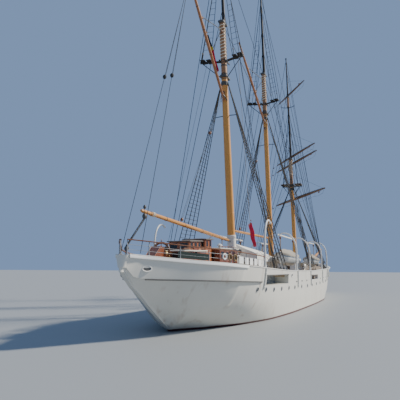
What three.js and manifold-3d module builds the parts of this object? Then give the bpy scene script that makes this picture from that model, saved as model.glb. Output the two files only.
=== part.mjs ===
import * as THREE from 'three';
import { LoftGeometry } from 'three/addons/geometries/LoftGeometry.js';
import { mergeVertices } from 'three/addons/utils/BufferGeometryUtils.js';
import Module from 'manifold-3d';

// A three-masted barquentine as a scale model at 1:2. All sizes below are metres of the ship itself:
// +X towards the bow, +Y to port, +Z up, z = 0 at the waterline, the origin amidships on the centreline.
const MODEL = 500;        // millimetres of the model for one metre of the ship
const TOUCH = 0.0006;     // gap between pieces that touch
const SIDES = [['port', 1], ['starboard', -1]];

// Paints and woods: colour, roughness, metalness.
const FINISH = {
  topsides: [0xdfe0d6, 0.5, 0.0],
  white: [0xf2f1ec, 0.5, 0.0],
  teak: [0x9a6436, 0.6, 0.0],
  mahogany: [0x6e2c16, 0.4, 0.0],
  buff: [0xd08a3c, 0.45, 0.0],
  black: [0x1a1c22, 0.5, 0.0],
  yard: [0x5e3a24, 0.6, 0.0],
  wire: [0x2a2d33, 0.6, 0.3],
  steel: [0x3b3d40, 0.55, 0.5],
  bronze: [0xa07a3a, 0.35, 0.9],
  antifouling: [0x6e2420, 0.7, 0.0],
  canvas: [0xe4e0d4, 0.85, 0.0],
  flag: [0xc8203a, 0.8, 0.0],
};

// Hull: table of offsets. Columns: station x, keel z, then the half-breadths at the heights in LEVELS,
// at the knuckle and at the rail. A zero stands for a height below the keel.
const LEVELS = [-3.6, -2.2, -0.9, 0.4, 1.8];
const OFFSETS = [
  [-33.2, 4.10, 0, 0, 0, 0, 0, 0, 0.35],
  [-32.4, 3.30, 0, 0, 0, 0, 0, 0.42, 0.78],
  [-31.5, 2.75, 0, 0, 0, 0, 0, 0.98, 1.35],
  [-30.0, 1.75, 0, 0, 0, 0, 0, 1.92, 2.32],
  [-28.5, 0.80, 0, 0, 0, 0, 1.35, 2.90, 3.30],
  [-27.0, -0.05, 0, 0, 0, 0.75, 2.45, 3.72, 4.08],
  [-26.0, -0.60, 0, 0, 0, 1.35, 3.05, 4.15, 4.45],
  [-24.902, -1.30, 0, 0, 0.45, 2.05, 3.60, 4.50, 4.75],
  [-24.90, -4.50, 0.15, 0.30, 0.60, 2.05, 3.60, 4.50, 4.75],
  [-21.2, -4.60, 0.25, 0.90, 2.20, 3.70, 4.60, 5.00, 5.15],
  [-16.0, -4.60, 0.90, 2.50, 4.00, 4.70, 5.05, 5.20, 5.28],
  [-8.0, -4.60, 2.20, 4.10, 4.85, 5.10, 5.25, 5.30, 5.30],
  [2.0, -4.60, 2.60, 4.40, 5.00, 5.20, 5.30, 5.30, 5.30],
  [10.0, -4.55, 2.10, 4.00, 4.75, 5.05, 5.20, 5.28, 5.30],
  [16.0, -4.45, 1.10, 2.90, 3.90, 4.45, 4.80, 5.05, 5.20],
  [19.0, -4.40, 0.70, 2.20, 3.20, 3.85, 4.35, 4.70, 4.95],
  [23.0, -4.20, 0.35, 1.20, 1.95, 2.60, 3.20, 3.75, 4.20],
  [27.0, -3.30, 0, 0.45, 0.85, 1.30, 1.80, 2.40, 3.05],
  [30.0, -1.20, 0, 0, 0.20, 0.45, 0.85, 1.30, 1.95],
  [32.3, 1.50, 0, 0, 0, 0, 0.20, 0.50, 1.05],
  [34.0, 4.00, 0, 0, 0, 0, 0, 0.16, 0.36],
];
const FIN = 0.14;                 // half thickness of the keel, stem and deadwood
const STEP = 0.012;               // least height between two points of a section
const POOP_BREAK = -12.6;
const FORECASTLE_BREAK = 19.0;
const BAND_END = -21.2;           // forward end of the doubled band round the poop
const BAND = 0.1;                 // how far the band stands proud
const STERN = OFFSETS[0][0];
const STEM = OFFSETS[OFFSETS.length - 1][0];
// Lines along the ship, as [x, z] points.
const KNUCKLE = [[STERN, 3.72], [BAND_END, 3.34], [STEM, 4.4]];
const RAIL = [
  [STERN, 5.1], [-29, 4.78], [-24.5, 4.53], [BAND_END, 4.4], [POOP_BREAK, 4.16], [2, 4.14],
  [FORECASTLE_BREAK, 4.55], [STEM, 5.6],
];
const POOP = [[STERN, 4.4], [POOP_BREAK, 3.98]];
const MAIN_DECK = [[POOP_BREAK, 2.95], [2, 2.95], [FORECASTLE_BREAK, 3.2]];
const FORECASTLE = [[FORECASTLE_BREAK, 4.3], [STEM, 5.25]];
const BULWARK = 0.12;             // bulwark thickness
const CROWN = 0.002;              // swell of a bulwark at its knee, which keeps its face off one plane
const SIDE_DOOR = { from: -20.2, to: -13.0, low: 3.0, high: 3.8, depth: 1.1 };
const SIDE_PORT = { from: -0.6, to: 4.4, low: 3.12, high: 3.68 };

const POOP_RAIL = {
  from: -32, to: -20.9, pitch: 1.84, inset: 0.06, height: 0.92, post: 0.03, cap: 0.12, thick: 0.06,
  middle: 0.45, wire: 0.018, end: [STERN + 0.07, 0.25],
};
const WHEEL = { x: -28.6, z: 5.45, radius: 0.62, rim: 0.045, reach: 0.86, spokes: 8 };
const RUDDER = { x: -26.2, stock: 0.13, trunk: 0.5 };
const PROPELLER = { x: -25.4, z: -2.9, post: -24.902, blades: 4, pitch: 0.6 };
const SHROUD = { radius: 0.03, half: 0.055, eye: 0.32 };
const DAVIT = { height: 4.0, outreach: 1.85, radius: 0.085 };
// Boat: [fraction of the half length, half width, keel, gunwale], heights above the bottom of the keel.
const BOAT = [[-1, 0.15, 0.35, 1.35], [-0.7, 0.85, 0.05, 1.15], [0, 1.1, 0, 1.05], [0.7, 0.8, 0.05, 1.2],
  [1, 0.1, 0.45, 1.5]];
const BOAT_KEEL = 4.75;
// Awning: [distance from the centreline, drop below the ridge].
const AWNING = [[-2.2, 1.0], [-1.1, 0.55], [0, 0], [1.1, 0.55], [2.2, 1.0]];
const BOWSPRIT = { x: 30.2, heel: 5.95, tip: 44.3, rise: 0.2, thick: 0.26, thin: 0.11, taper: 0.35 };

// Masts: x of the mast at the height z0 and its rake aft for each metre up.
// foot, cap: ends of the lower mast. heelTop, truck: ends of the topmast, offset ahead of the lower mast.
// base, profile, topProfile: [height, radius].
// plates: [height, reach aft, reach forward, half width] at the doubling.
// trees: [height, half spread, width], with a strut to the mast below.
// top: [height, half width, reach aft, reach forward].
const MAST_SIDES = 20;
const MASTS = {
  mizzen: {
    x0: -14.3, z0: 6, rake: 0.11, foot: 7.62, cap: 29.3, truck: 39.2, heelTop: 23.3, offset: 0.52,
    base: [[3.6, 0.66], [5.0, 0.62], [6.6, 0.43], [7.62, 0.425]],
    profile: [[7.62, 0.39], [22.8, 0.31], [23.2, 0.29], [29.3, 0.24]],
    topProfile: [[23.3, 0.17], [29.6, 0.17], [39.2, 0.09]],
    plates: [[23.5, 0.3, 0.3, 0.34], [29.1, 0.3, 0.3, 0.3]],
    trees: [[25.05, 2.15, 0.3]], strut: 1.7,
  },
  main: {
    x0: 0.75, z0: 6.3, rake: 0.092, foot: 2.4, cap: 30.4, truck: 43, heelTop: 24.7, offset: 0.48,
    profile: [[2.4, 0.35], [24.6, 0.28], [30.4, 0.23]],
    topProfile: [[24.7, 0.18], [31, 0.18], [43, 0.09]],
    plates: [[24.9, 0.3, 0.3, 0.34], [30.2, 0.28, 0.3, 0.3]],
    trees: [[26.1, 1.85, 0.3]], strut: 1.5,
  },
  fore: {
    x0: 15.9, z0: 6, rake: 0.098, foot: 2.4, cap: 22.4, truck: 39.4, heelTop: 17.6, offset: 0.46,
    profile: [[2.4, 0.33], [17.4, 0.29], [22.4, 0.24]],
    topProfile: [[17.6, 0.19], [30.2, 0.15], [33, 0.13], [39.4, 0.08]],
    plates: [[17.75, 0.3, 0.3, 0.34], [22.2, 0.28, 0.3, 0.3]],
    trees: [], strut: 0, top: [17.98, 1.65, 0.9, 1.2],
  },
};

const wasm = await Module();
wasm.setup();
const ship = new THREE.Group();
ship.name = 'barquentine';

// A closed geometry with shared vertices and its faces pointing out, as a solid that can be joined and cut.
function solid(geometry) {
  const bare = new THREE.BufferGeometry().copy(geometry);
  bare.deleteAttribute('normal');
  bare.deleteAttribute('uv');
  const merged = mergeVertices(bare, 1e-5);
  const place = merged.attributes.position.array;
  const corners = merged.index.array;
  const faces = [];
  let volume = 0;
  const corner = [new THREE.Vector3(), new THREE.Vector3(), new THREE.Vector3()];
  for (let i = 0; i < corners.length; i += 3) {
    const [a, b, c] = corners.slice(i, i + 3);
    if (a === b || b === c || c === a) continue;
    faces.push(a, b, c);
    [a, b, c].forEach((v, k) => corner[k].fromArray(place, 3 * v));
    volume += corner[0].dot(corner[1].clone().cross(corner[2]));
  }
  if (volume < 0) faces.reverse();
  return new wasm.Manifold(new wasm.Mesh({
    numProp: 3,
    vertProperties: new Float32Array(place),
    triVerts: new Uint32Array(faces),
  }));
}

function join(...shapes) {
  return shapes.flat().reduce((whole, shape) => whole.add(shape));
}

// Trims a piece to the shape of what it stands on, and leaves the small gap below it.
function seat(shape, under, lift = [0, 0, TOUCH]) {
  return shape.subtract(under.translate(lift));
}

function addNode(name, shape, finish) {
  // A cut can leave slivers without volume, which are dropped here.
  const pieces = shape.decompose().filter((piece) => piece.volume() > 1e-6);
  const mesh = wasm.Manifold.compose(pieces).getMesh();
  const geometry = new THREE.BufferGeometry();
  const place = new Float32Array(mesh.vertProperties).map((value) => value * MODEL);
  geometry.setAttribute('position', new THREE.BufferAttribute(place, 3));
  geometry.setIndex(new THREE.BufferAttribute(new Uint32Array(mesh.triVerts), 1));
  geometry.computeVertexNormals();
  const [color, roughness, metalness] = FINISH[finish];
  const node = new THREE.Mesh(geometry, new THREE.MeshStandardMaterial({ color, roughness, metalness }));
  node.name = name;
  ship.add(node);
  return shape;
}

const point = (x, y, z) => new THREE.Vector3(x, y, z);

// Axes of a bar from one point to another: its length along local Y, local Z as near to starboard as may be.
function along(from, to) {
  const axis = to.clone().sub(from).normalize();
  const reference = Math.abs(axis.y) > 0.9 ? point(1, 0, 0) : point(0, -1, 0);
  const third = reference.addScaledVector(axis, -reference.dot(axis)).normalize();
  return new THREE.Matrix4().makeBasis(axis.clone().cross(third), axis, third).setPosition(from);
}

// A round bar between two points. Rows of the profile are [fraction of the length, radius].
function turned(from, to, profile, sides = 12) {
  const length = from.distanceTo(to);
  const outline = [
    new THREE.Vector2(0, 0),
    ...profile.map(([part, radius]) => new THREE.Vector2(radius, part * length)),
    new THREE.Vector2(0, length),
  ];
  return solid(new THREE.LatheGeometry(outline, sides).applyMatrix4(along(from, to)));
}

const rod = (from, to, radius, sides = 6) => turned(from, to, [[0, radius], [1, radius]], sides);

// A square bar between two points: width across, height up.
function bar(from, to, width, height) {
  const length = from.distanceTo(to);
  const box = new THREE.BoxGeometry(height, length, width).translate(0, length / 2, 0);
  return solid(box.applyMatrix4(along(from, to)));
}

function box(x0, x1, y0, y1, z0, z1) {
  const shape = new THREE.BoxGeometry(x1 - x0, y1 - y0, z1 - z0);
  return solid(shape.translate((x0 + x1) / 2, (y0 + y1) / 2, (z0 + z1) / 2));
}

// A side outline of [x, z] corners carried across the ship from y0 to y1.
function sideProfile(corners, y0, y1) {
  const outline = new THREE.Shape(corners.map(([x, z]) => new THREE.Vector2(x, z)));
  const shape = new THREE.ExtrudeGeometry(outline, { depth: y1 - y0, bevelEnabled: false });
  return solid(shape.rotateX(Math.PI / 2).translate(0, y1, 0));
}

// A bent round bar along a path of points.
function bent(points, radius, steps, sides = 8) {
  const section = new THREE.Shape();
  for (let i = 0; i < sides; i++) {
    const angle = (i / sides) * 2 * Math.PI;
    const place = [radius * Math.cos(angle), radius * Math.sin(angle)];
    if (i === 0) section.moveTo(...place);
    else section.lineTo(...place);
  }
  const path = new THREE.CatmullRomCurve3(points);
  return solid(new THREE.ExtrudeGeometry(section, { steps, extrudePath: path, bevelEnabled: false }));
}

// Height on a line of [x, z] points.
function heightOn(line, x) {
  let i = 1;
  while (i < line.length - 1 && line[i][0] < x) i++;
  const [[x0, z0], [x1, z1]] = [line[i - 1], line[i]];
  return z0 + ((z1 - z0) * (x - x0)) / (x1 - x0);
}

function mastPoint(mast, z, forward = 0) {
  return point(mast.x0 - mast.rake * (z - mast.z0) + forward, 0, z);
}

// Hull and bulwarks

// One row of the table of offsets at any x, as pairs of height and half-breadth from the keel up.
function offsetsAt(x) {
  let i = 1;
  while (i < OFFSETS.length - 1 && OFFSETS[i][0] < x) i++;
  const [low, high] = [OFFSETS[i - 1], OFFSETS[i]];
  const part = Math.min(1, Math.max(0, (x - low[0]) / (high[0] - low[0])));
  const row = low.map((value, k) => {
    const [a, b] = k > 1 ? [Math.max(value, FIN), Math.max(high[k], FIN)] : [value, high[k]];
    return a + (b - a) * part;
  });
  const keel = row[1];
  const heights = [...LEVELS, heightOn(KNUCKLE, x), heightOn(RAIL, x)];
  const pairs = heights.map((z, k) => [z, row[k + 2]]).filter(([z]) => z > keel + STEP);
  return [[keel, FIN], ...pairs];
}

function breadth(x, z) {
  const pairs = offsetsAt(x);
  let i = 1;
  while (i < pairs.length - 1 && pairs[i][0] < z) i++;
  const [[z0, y0], [z1, y1]] = [pairs[i - 1], pairs[i]];
  return y0 + ((y1 - y0) * (z - z0)) / (z1 - z0);
}

// Stations of the hull from aft forward: x, the deck there and how far the band stands out.
const BREAK = 0.005;
const stations = [];
for (const [x] of OFFSETS) stations.push({ x });
for (const x of [BAND_END, POOP_BREAK, FORECASTLE_BREAK]) {
  const same = stations.findIndex((station) => station.x === x);
  if (same >= 0) stations.splice(same, 1);
  stations.push({ x: x - BREAK }, { x: x + BREAK });
}
stations.sort((a, b) => a.x - b.x);
for (const station of stations) {
  station.line = station.x < POOP_BREAK ? POOP : station.x < FORECASTLE_BREAK ? MAIN_DECK : FORECASTLE;
  station.deck = heightOn(station.line, station.x);
  station.band = station.x < BAND_END ? BAND : 0;
}

function hullSection({ x, deck, band }) {
  const keel = offsetsAt(x)[0][0];
  const knuckle = heightOn(KNUCKLE, x);
  const wanted = [keel, ...LEVELS, knuckle, knuckle + STEP, deck];
  const last = wanted.length - 1;
  const side = wanted.map((z, i) => {
    const height = Math.min(Math.max(z, keel + i * STEP), deck - (last - i) * STEP);
    const proud = i > last - 2 ? band : 0;
    return [breadth(x, height) + proud, height];
  });
  const port = side.map(([y, z]) => point(x, y, z));
  const starboard = side.map(([y, z]) => point(x, -y, z)).reverse();
  return [...port, ...starboard];
}

const HEEL = { aft: -26.75, low: -4.5, high: -4.25, half: 0.17 };
let hull = solid(new LoftGeometry(stations.map(hullSection), { closed: true, capStart: true, capEnd: true }));
hull = hull.add(box(HEEL.aft, -24.5, -HEEL.half, HEEL.half, HEEL.low, HEEL.high));
const trunk = [point(RUDDER.x, 0, -1.5), point(RUDDER.x, 0, RUDDER.trunk)];
hull = hull.subtract(rod(...trunk, RUDDER.stock + 5 * TOUCH, 16));
for (const [, sign] of SIDES) {
  const inner = breadth(SIDE_DOOR.from, SIDE_DOOR.high) - SIDE_DOOR.depth;
  const reach = [sign * inner, sign * 6].sort((a, b) => a - b);
  hull = hull.subtract(box(SIDE_DOOR.from, SIDE_DOOR.to, ...reach, SIDE_DOOR.low, SIDE_DOOR.high));
}
// The poop stands on the hull in two levels: its sides with a recess each side, then its deck.
const aboard = (low, high) => box(STERN - 1, POOP_BREAK + 0.1, -6, 6, low, high);
addNode('hull', hull.subtract(aboard(SIDE_DOOR.low, 6)), 'topsides');
addNode('poop_sides', hull.intersect(aboard(SIDE_DOOR.low + TOUCH, SIDE_DOOR.high)), 'topsides');
addNode('poop_deck', hull.intersect(aboard(SIDE_DOOR.high + TOUCH, 6)), 'teak');

// One side's bulwark from the stern's centreline round to the stem's, standing on the deck edge.
function bulwark(sign) {
  const rows = stations.map(({ x, line, deck, band }) => {
    const rail = heightOn(RAIL, x);
    const foot = deck + TOUCH;
    const knee = Math.max(heightOn(KNUCKLE, x) + STEP, foot + STEP);
    const sides = [foot, knee, rail].map((z) => breadth(x, z) + band);
    sides[1] += CROWN;
    // Near a break of the deck the inner face keeps to its station, so that its foot follows the deck.
    const kept = [POOP_BREAK, FORECASTLE_BREAK].some((stop) => Math.abs(stop - x) < 1);
    return { x, line, heights: [foot, knee, rail], sides, kept };
  });
  // Both ends reach just over the centreline, where the two sides join.
  const across = [-TOUCH, CROWN - TOUCH, -TOUCH];
  rows.unshift({ ...rows[0], sides: across });
  rows.push({ ...rows[rows.length - 1], sides: across });
  const plan = rows.map(({ x, sides }) => new THREE.Vector2(x, sides[2]));
  const inward = plan.map((here, i) => {
    const before = here.clone().sub(plan[Math.max(i - 1, 0)]).normalize();
    const after = plan[Math.min(i + 1, plan.length - 1)].clone().sub(here).normalize();
    if (i === 0) before.copy(after);
    if (i === plan.length - 1) after.copy(before);
    const normals = [before, after].map((way) => new THREE.Vector2(way.y, -way.x));
    return normals[0].clone().add(normals[1]).multiplyScalar(BULWARK / (1 + normals[0].dot(normals[1])));
  });
  const sections = rows.map(({ x, line, heights, sides, kept }, i) => {
    const outer = heights.map((z, k) => point(x, sign * sides[k], z));
    const inside = kept ? x : x + inward[i].x;
    const inner = [heightOn(line, inside) + TOUCH, ...heights.slice(1)]
      .map((z, k) => point(inside, sign * (sides[k] + inward[i].y), z)).reverse();
    return sign > 0 ? [...outer, ...inner] : [...outer, ...inner].reverse();
  });
  return solid(new LoftGeometry(sections, { closed: true, capStart: true, capEnd: true }));
}

let bulwarks = bulwark(1).add(bulwark(-1));
for (const [, sign] of SIDES) {
  const reach = [sign * 4.6, sign * 6].sort((a, b) => a - b);
  bulwarks = bulwarks.subtract(box(SIDE_PORT.from, SIDE_PORT.to, ...reach, SIDE_PORT.low, SIDE_PORT.high));
}
const ring = (x0, x1, y0, y1) => bulwarks.intersect(box(x0 + TOUCH / 2, x1 - TOUCH / 2, y0, y1, 0, 8));
addNode('poop_bulwark', ring(STERN - 1, POOP_BREAK, -6, 6), 'topsides');
addNode('forecastle_bulwark', ring(FORECASTLE_BREAK, STEM + 1, -6, 6), 'topsides');
// The port side is in three lengths, the middle one round its side port.
const lengths = { aft: [POOP_BREAK, SIDE_PORT.from - 0.5], middle: [SIDE_PORT.from - 0.5, SIDE_PORT.to + 0.5],
  fore: [SIDE_PORT.to + 0.5, FORECASTLE_BREAK] };
for (const [part, [from, to]] of Object.entries(lengths)) {
  addNode(`bulwark_port_${part}`, ring(from, to, 0, 6), 'topsides');
}
addNode('bulwark_starboard', ring(POOP_BREAK, FORECASTLE_BREAK, -6, 0), 'topsides');

// Poop: rail, houses, steering gear

for (const [name, sign] of SIDES) {
  const { from, to, pitch, inset, height, post, cap, thick, middle, wire, end } = POOP_RAIL;
  const foot = (x) => heightOn(RAIL, x) + 2 * TOUCH;
  const feet = [point(end[0], sign * end[1], foot(end[0]))];
  for (let x = from; x <= to; x += pitch) {
    const y = sign * (breadth(x, heightOn(RAIL, x)) + (x < BAND_END ? BAND : 0) - inset);
    feet.push(point(x, y, foot(x)));
  }
  const lifted = (up) => feet.map((place) => place.clone().add(point(0, 0, up)));
  const tops = lifted(height);
  const mids = lifted(middle);
  const parts = feet.map((place, i) => rod(place, tops[i], post));
  for (let i = 1; i < feet.length; i++) {
    parts.push(bar(tops[i - 1], tops[i], cap, thick));
    parts.push(rod(mids[i - 1], mids[i], wire, 4));
  }
  addNode(`poop_rail_${name}`, seat(join(parts), bulwarks), 'teak');
}

// Houses. Columns: name, aft and forward end, half width, height of the roof at each end, overhang, finish.
const HOUSES = [
  ['after_house', -27.6, -23.6, 1.25, 5.6, 5.75, 0.1, 'mahogany'],
  ['chart_house', -21.4, -16.9, 1.5, 6.05, 6.15, 0.12, 'mahogany'],
  ['midship_house', -10.6, -3.2, 1.9, 5.15, 5.15, 0.1, 'white'],
  ['fore_house', 6.2, 13.4, 2.0, 5.3, 5.35, 0.1, 'white'],
];
const ROOF = 0.1;
const houses = {};
for (const [name, aft, fore, half, highAft, highFore, overhang, finish] of HOUSES) {
  const outline = [[aft, 2], [fore, 2], [fore, highFore - ROOF / 2], [aft, highAft - ROOF / 2]];
  const walls = sideProfile(outline, -half, half);
  const [back, front] = [aft - overhang, fore + overhang];
  const eaves = [[back, highAft - ROOF], [front, highFore - ROOF], [front, highFore], [back, highAft]];
  const roof = sideProfile(eaves, -half - overhang, half + overhang);
  houses[name] = addNode(name, seat(join(walls, roof), hull), finish);
}

// The steering gear box aft of the wheel, with a sloping top.
const gear = { aft: WHEEL.x - 1.5, fore: WHEEL.x - WHEEL.rim - 0.06, half: 0.35 };
const gearTop = [[gear.fore, WHEEL.z + 0.25], [WHEEL.x - 0.7, WHEEL.z + 0.35], [gear.aft, 5.1]];
const gearBox = sideProfile([[gear.aft, 4], [gear.fore, 4], ...gearTop], -gear.half, gear.half);
addNode('steering_gear_box', seat(gearBox, hull), 'mahogany');

const hub = [point(gear.fore + TOUCH, 0, WHEEL.z), point(WHEEL.x + 0.12, 0, WHEEL.z)];
const wheelParts = [rod(...hub, 0.13, 12)];
const rim = new THREE.TorusGeometry(WHEEL.radius, WHEEL.rim, 6, 20).rotateY(Math.PI / 2);
wheelParts.push(solid(rim.translate(WHEEL.x, 0, WHEEL.z)));
for (let i = 0; i < WHEEL.spokes; i++) {
  const angle = (i / WHEEL.spokes) * 2 * Math.PI;
  const tip = point(WHEEL.x, WHEEL.reach * Math.sin(angle), WHEEL.z + WHEEL.reach * Math.cos(angle));
  wheelParts.push(rod(point(WHEEL.x, 0, WHEEL.z), tip, 0.022));
}
addNode('steering_wheel', join(wheelParts), 'mahogany');

// Main deck and forecastle: hatch, windlass, bowsprit

const hatch = join(box(3.0, 5.6, -1.1, 1.1, 2.5, 3.55), box(2.9, 5.7, -1.2, 1.2, 3.5, 3.62));
addNode('main_hatch', seat(hatch, hull), 'teak');
const windlass = join(
  box(26.2, 27.6, -0.9, -0.65, 4, 5.5), box(26.2, 27.6, 0.65, 0.9, 4, 5.5),
  rod(point(26.9, -1.15, 5.3), point(26.9, 1.15, 5.3), 0.24, 12));
addNode('windlass', seat(windlass, hull), 'steel');

const spritHeel = point(BOWSPRIT.x, 0, BOWSPRIT.heel);
const spritTip = point(BOWSPRIT.tip, 0, BOWSPRIT.heel + (BOWSPRIT.tip - BOWSPRIT.x) * BOWSPRIT.rise);
const onSprit = (x) => spritHeel.clone().lerp(spritTip, (x - spritHeel.x) / (spritTip.x - spritHeel.x));
const { thick: spritThick, thin: spritThin, taper: spritTaper } = BOWSPRIT;
const sprit = turned(spritHeel, spritTip, [[0, spritThick], [spritTaper, spritThick], [1, spritThin]], 12);
// A point just above the bowsprit's upper side, where a stay comes down to it.
function onSpritTop(x) {
  const part = (x - spritHeel.x) / (spritTip.x - spritHeel.x);
  const slim = Math.max(0, part - BOWSPRIT.taper) / (1 - BOWSPRIT.taper);
  const radius = BOWSPRIT.thick + (BOWSPRIT.thin - BOWSPRIT.thick) * slim;
  return onSprit(x).add(point(0, 0, radius * Math.hypot(1, BOWSPRIT.rise) + 3 * TOUCH));
}
const knee = box(30.0, 31.2, -0.34, 0.34, 4, 5.75);
const striker = rod(onSprit(38.4), point(38.1, 0, onSprit(38.4).z - 2.4), 0.07, 8);
const bowsprit = addNode('bowsprit', seat(join(sprit, knee, striker), hull), 'white');

// Masts

const masts = {};
const topmasts = {};
// A round length of mast from one height to another. Rows of radii are [height, radius].
function mastLength(mast, foot, head, radii, forward = 0) {
  const rows = radii.map(([z, r]) => [(z - foot) / (head - foot), r]);
  return turned(mastPoint(mast, foot, forward), mastPoint(mast, head, forward), rows, MAST_SIDES);
}

// The doubled masthead of one mast: trestle and cap plates that hold the topmast in front of the lower mast.
function doubling(mast) {
  return mast.plates.map(([z, aft, fore, half]) => {
    const centre = mastPoint(mast, z);
    return box(centre.x - aft, centre.x + mast.offset + fore, -half, half, z - 0.09, z + 0.09);
  });
}

for (const [name, mast] of Object.entries(MASTS)) {
  const parts = [mastLength(mast, mast.foot, mast.cap, mast.profile), ...doubling(mast)];
  for (const sign of [1, -1]) {
    for (const [z, reach, width] of mast.trees) {
      const root = mastPoint(mast, z);
      parts.push(bar(root, point(root.x - 0.15, sign * reach, z), width, 0.1));
      parts.push(rod(mastPoint(mast, z - mast.strut), point(root.x - 0.15, sign * (reach - 0.06), z), 0.05));
    }
  }
  if (mast.top) {
    const [z, half, aft, fore] = mast.top;
    const centre = mastPoint(mast, z);
    parts.push(box(centre.x - aft, centre.x + fore, -half, half, z - 0.06, z + 0.06));
  }
  const topmast = mastLength(mast, mast.heelTop, mast.truck, mast.topProfile, mast.offset);
  const [below, above, wide] = [mast.heelTop - 0.5, mast.cap + 1, mast.topProfile[0][1] + TOUCH];
  const clear = mastLength(mast, below, above, [[below, wide], [above, wide]], mast.offset);
  masts[name] = addNode(`${name}_lower_mast`, seat(join(parts).subtract(clear), hull), 'buff');
  topmasts[name] = addNode(`${name}_topmast`, topmast, 'black');
}

// The white flared base of the mizzen, standing on the poop deck.
const { fore, main, mizzen } = MASTS;
const baseFoot = mizzen.base[0][0];
const mizzenBase = mastLength(mizzen, baseFoot, mizzen.foot - TOUCH, mizzen.base);
addNode('mizzen_mast_base', seat(mizzenBase, hull), 'white');

// A point just off the side of a mast at a height, in the direction `way` (1 forward, -1 aft).
const bearing = (profile, rake, z) => heightOn(profile, z) * Math.hypot(1, rake) + TOUCH;
function onMast(mast, z, way, top = false) {
  const lower = mast.base && z < mast.foot ? mast.base : mast.profile;
  const reach = bearing(top ? mast.topProfile : lower, mast.rake, z) + TOUCH;
  return mastPoint(mast, z, (top ? mast.offset : 0) + way * reach);
}

// Shrouds: one fan of taut wires each side of each mast, from a collar at the hounds to deadeyes on the rail.
// Columns: mast, height of the hounds, then x of each foot.
const SHROUDS = [
  ['mizzen', 22.8, [-13.2, -14.5, -15.8, -17.1]],
  ['main', 24.2, [3.2, 2.0, 0.8, -0.4]],
  ['fore', 17.3, [14.5, 13.1, 12.3, 11.5]],
];
for (const [name, hounds, feet] of SHROUDS) {
  for (const [side, sign] of SIDES) {
    const { radius, half, eye } = SHROUD;
    const head = mastPoint(MASTS[name], hounds);
    head.y = sign * (MASTS[name].profile[1][1] + 0.1);
    const [aft, fore, wide] = [head.x - 0.16, head.x + 0.16, 0.1];
    const parts = [box(aft, fore, head.y - wide, head.y + wide, hounds - 0.25, hounds + 0.12)];
    for (const x of feet) {
      const y = sign * (breadth(x, heightOn(RAIL, x)) - BULWARK / 2);
      const low = Math.max(heightOn(RAIL, x - half), heightOn(RAIL, x + half)) + TOUCH;
      parts.push(box(x - half, x + half, y - half, y + half, low, low + eye));
      parts.push(rod(point(x, y, low + eye - 0.05), head, radius));
    }
    addNode(`${name}_shrouds_${side}`, seat(join(parts), masts[name], [0, sign * TOUCH, 0]), 'wire');
  }
}

// A taut wire, drawn to a point at both ends where it meets its carriers.
function stay(from, to, radius) {
  const tip = 0.15 / from.distanceTo(to);
  return turned(from, to, [[tip, radius], [1 - tip, radius]], 6);
}

const STAYS = [
  ['fore_stay', onMast(fore, 17.3, 1), onSpritTop(31.4)],
  ['jib_stay', onMast(fore, 30.4, 1, true), onSpritTop(38.0)],
  ['flying_jib_stay', onMast(fore, 37.2, 1, true), onSpritTop(43.2)],
  ['main_stay', onMast(main, 24.3, 1), onMast(fore, 16.6, -1)],
];
for (const [name, from, to] of STAYS) addNode(name, stay(from, to, SHROUD.radius), 'wire');

// Booms and gaffs. Each starts in a point at the mast's after side, where its gooseneck or jaws turn about
// the mast. Columns: name, mast, height of the jaws, end x, end z, greatest radius, end radius.
const SPARS = [
  ['spanker_boom', mizzen, 7.05, -31.3, 7.97, 0.155, 0.11],
  ['main_boom', main, 8.3, -13.4, 8.13, 0.135, 0.1],
  ['mizzen_gaff', mizzen, 20.9, -24.6, 28.85, 0.14, 0.08],
  ['main_gaff', main, 23.35, -11.5, 29.7, 0.14, 0.08],
];
const spars = {};
for (const [name, mast, height, endX, endZ, thick, thin] of SPARS) {
  const jaw = onMast(mast, height, -1);
  const profile = [[0.02, 0.07], [0.045, thick * 0.85], [0.4, thick], [0.75, thick * 0.92], [1, thin]];
  spars[name] = addNode(name, turned(jaw, point(endX, 0, endZ), profile, 12), 'buff');
}

// Yards, braced up sharp: each hangs on a truss whose point bears on the front of the mast.
// Columns: name, height, true on the topmast, length of the truss, half length, radius.
const BRACE = THREE.MathUtils.degToRad(-54);
const YARDS = [
  ['fore_yard', 15.88, false, 0.95, 9.15, 0.21],
  ['lower_topsail_yard', 21.77, true, 0.6, 7.8, 0.17],
  ['upper_topsail_yard', 22.99, true, 0.6, 7.35, 0.16],
  ['topgallant_yard', 33.45, true, 0.5, 5.2, 0.13],
];
for (const [name, height, top, truss, half, thick] of YARDS) {
  const pivot = mastPoint(fore, height, top ? fore.offset : 0);
  const radius = bearing(top ? fore.topProfile : fore.profile, fore.rake, height);
  const ahead = point(Math.cos(BRACE), Math.sin(BRACE), 0);
  const across = point(-Math.sin(BRACE), Math.cos(BRACE), 0);
  const centre = pivot.clone().addScaledVector(ahead, truss);
  const ends = [-half, half].map((reach) => centre.clone().addScaledVector(across, reach));
  const stick = turned(...ends, [[0, thick * 0.45], [0.04, thick * 0.5], [0.35, thick * 0.9], [0.5, thick],
    [0.65, thick * 0.9], [0.96, thick * 0.5], [1, thick * 0.45]], 12);
  const arm = turned(pivot.clone().addScaledVector(ahead, radius), centre, [[0.12, 0.07], [1, 0.09]], 8);
  addNode(name, join(stick, arm), 'yard');
}

// Rudder and propeller
const rudderFoot = HEEL.high + TOUCH;
const rudderOutline = [[0.16, rudderFoot], [-1.75, rudderFoot], [-2.05, -2.6], [-1.6, -0.85], [0.16, -0.75]];
const blade = sideProfile(rudderOutline.map(([x, z]) => [RUDDER.x + x, z]), -0.1, 0.1);
const stock = rod(point(RUDDER.x, 0, -4.2), point(RUDDER.x, 0, RUDDER.trunk - 0.1), RUDDER.stock, 16);
addNode('rudder', join(blade, stock), 'antifouling');

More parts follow.
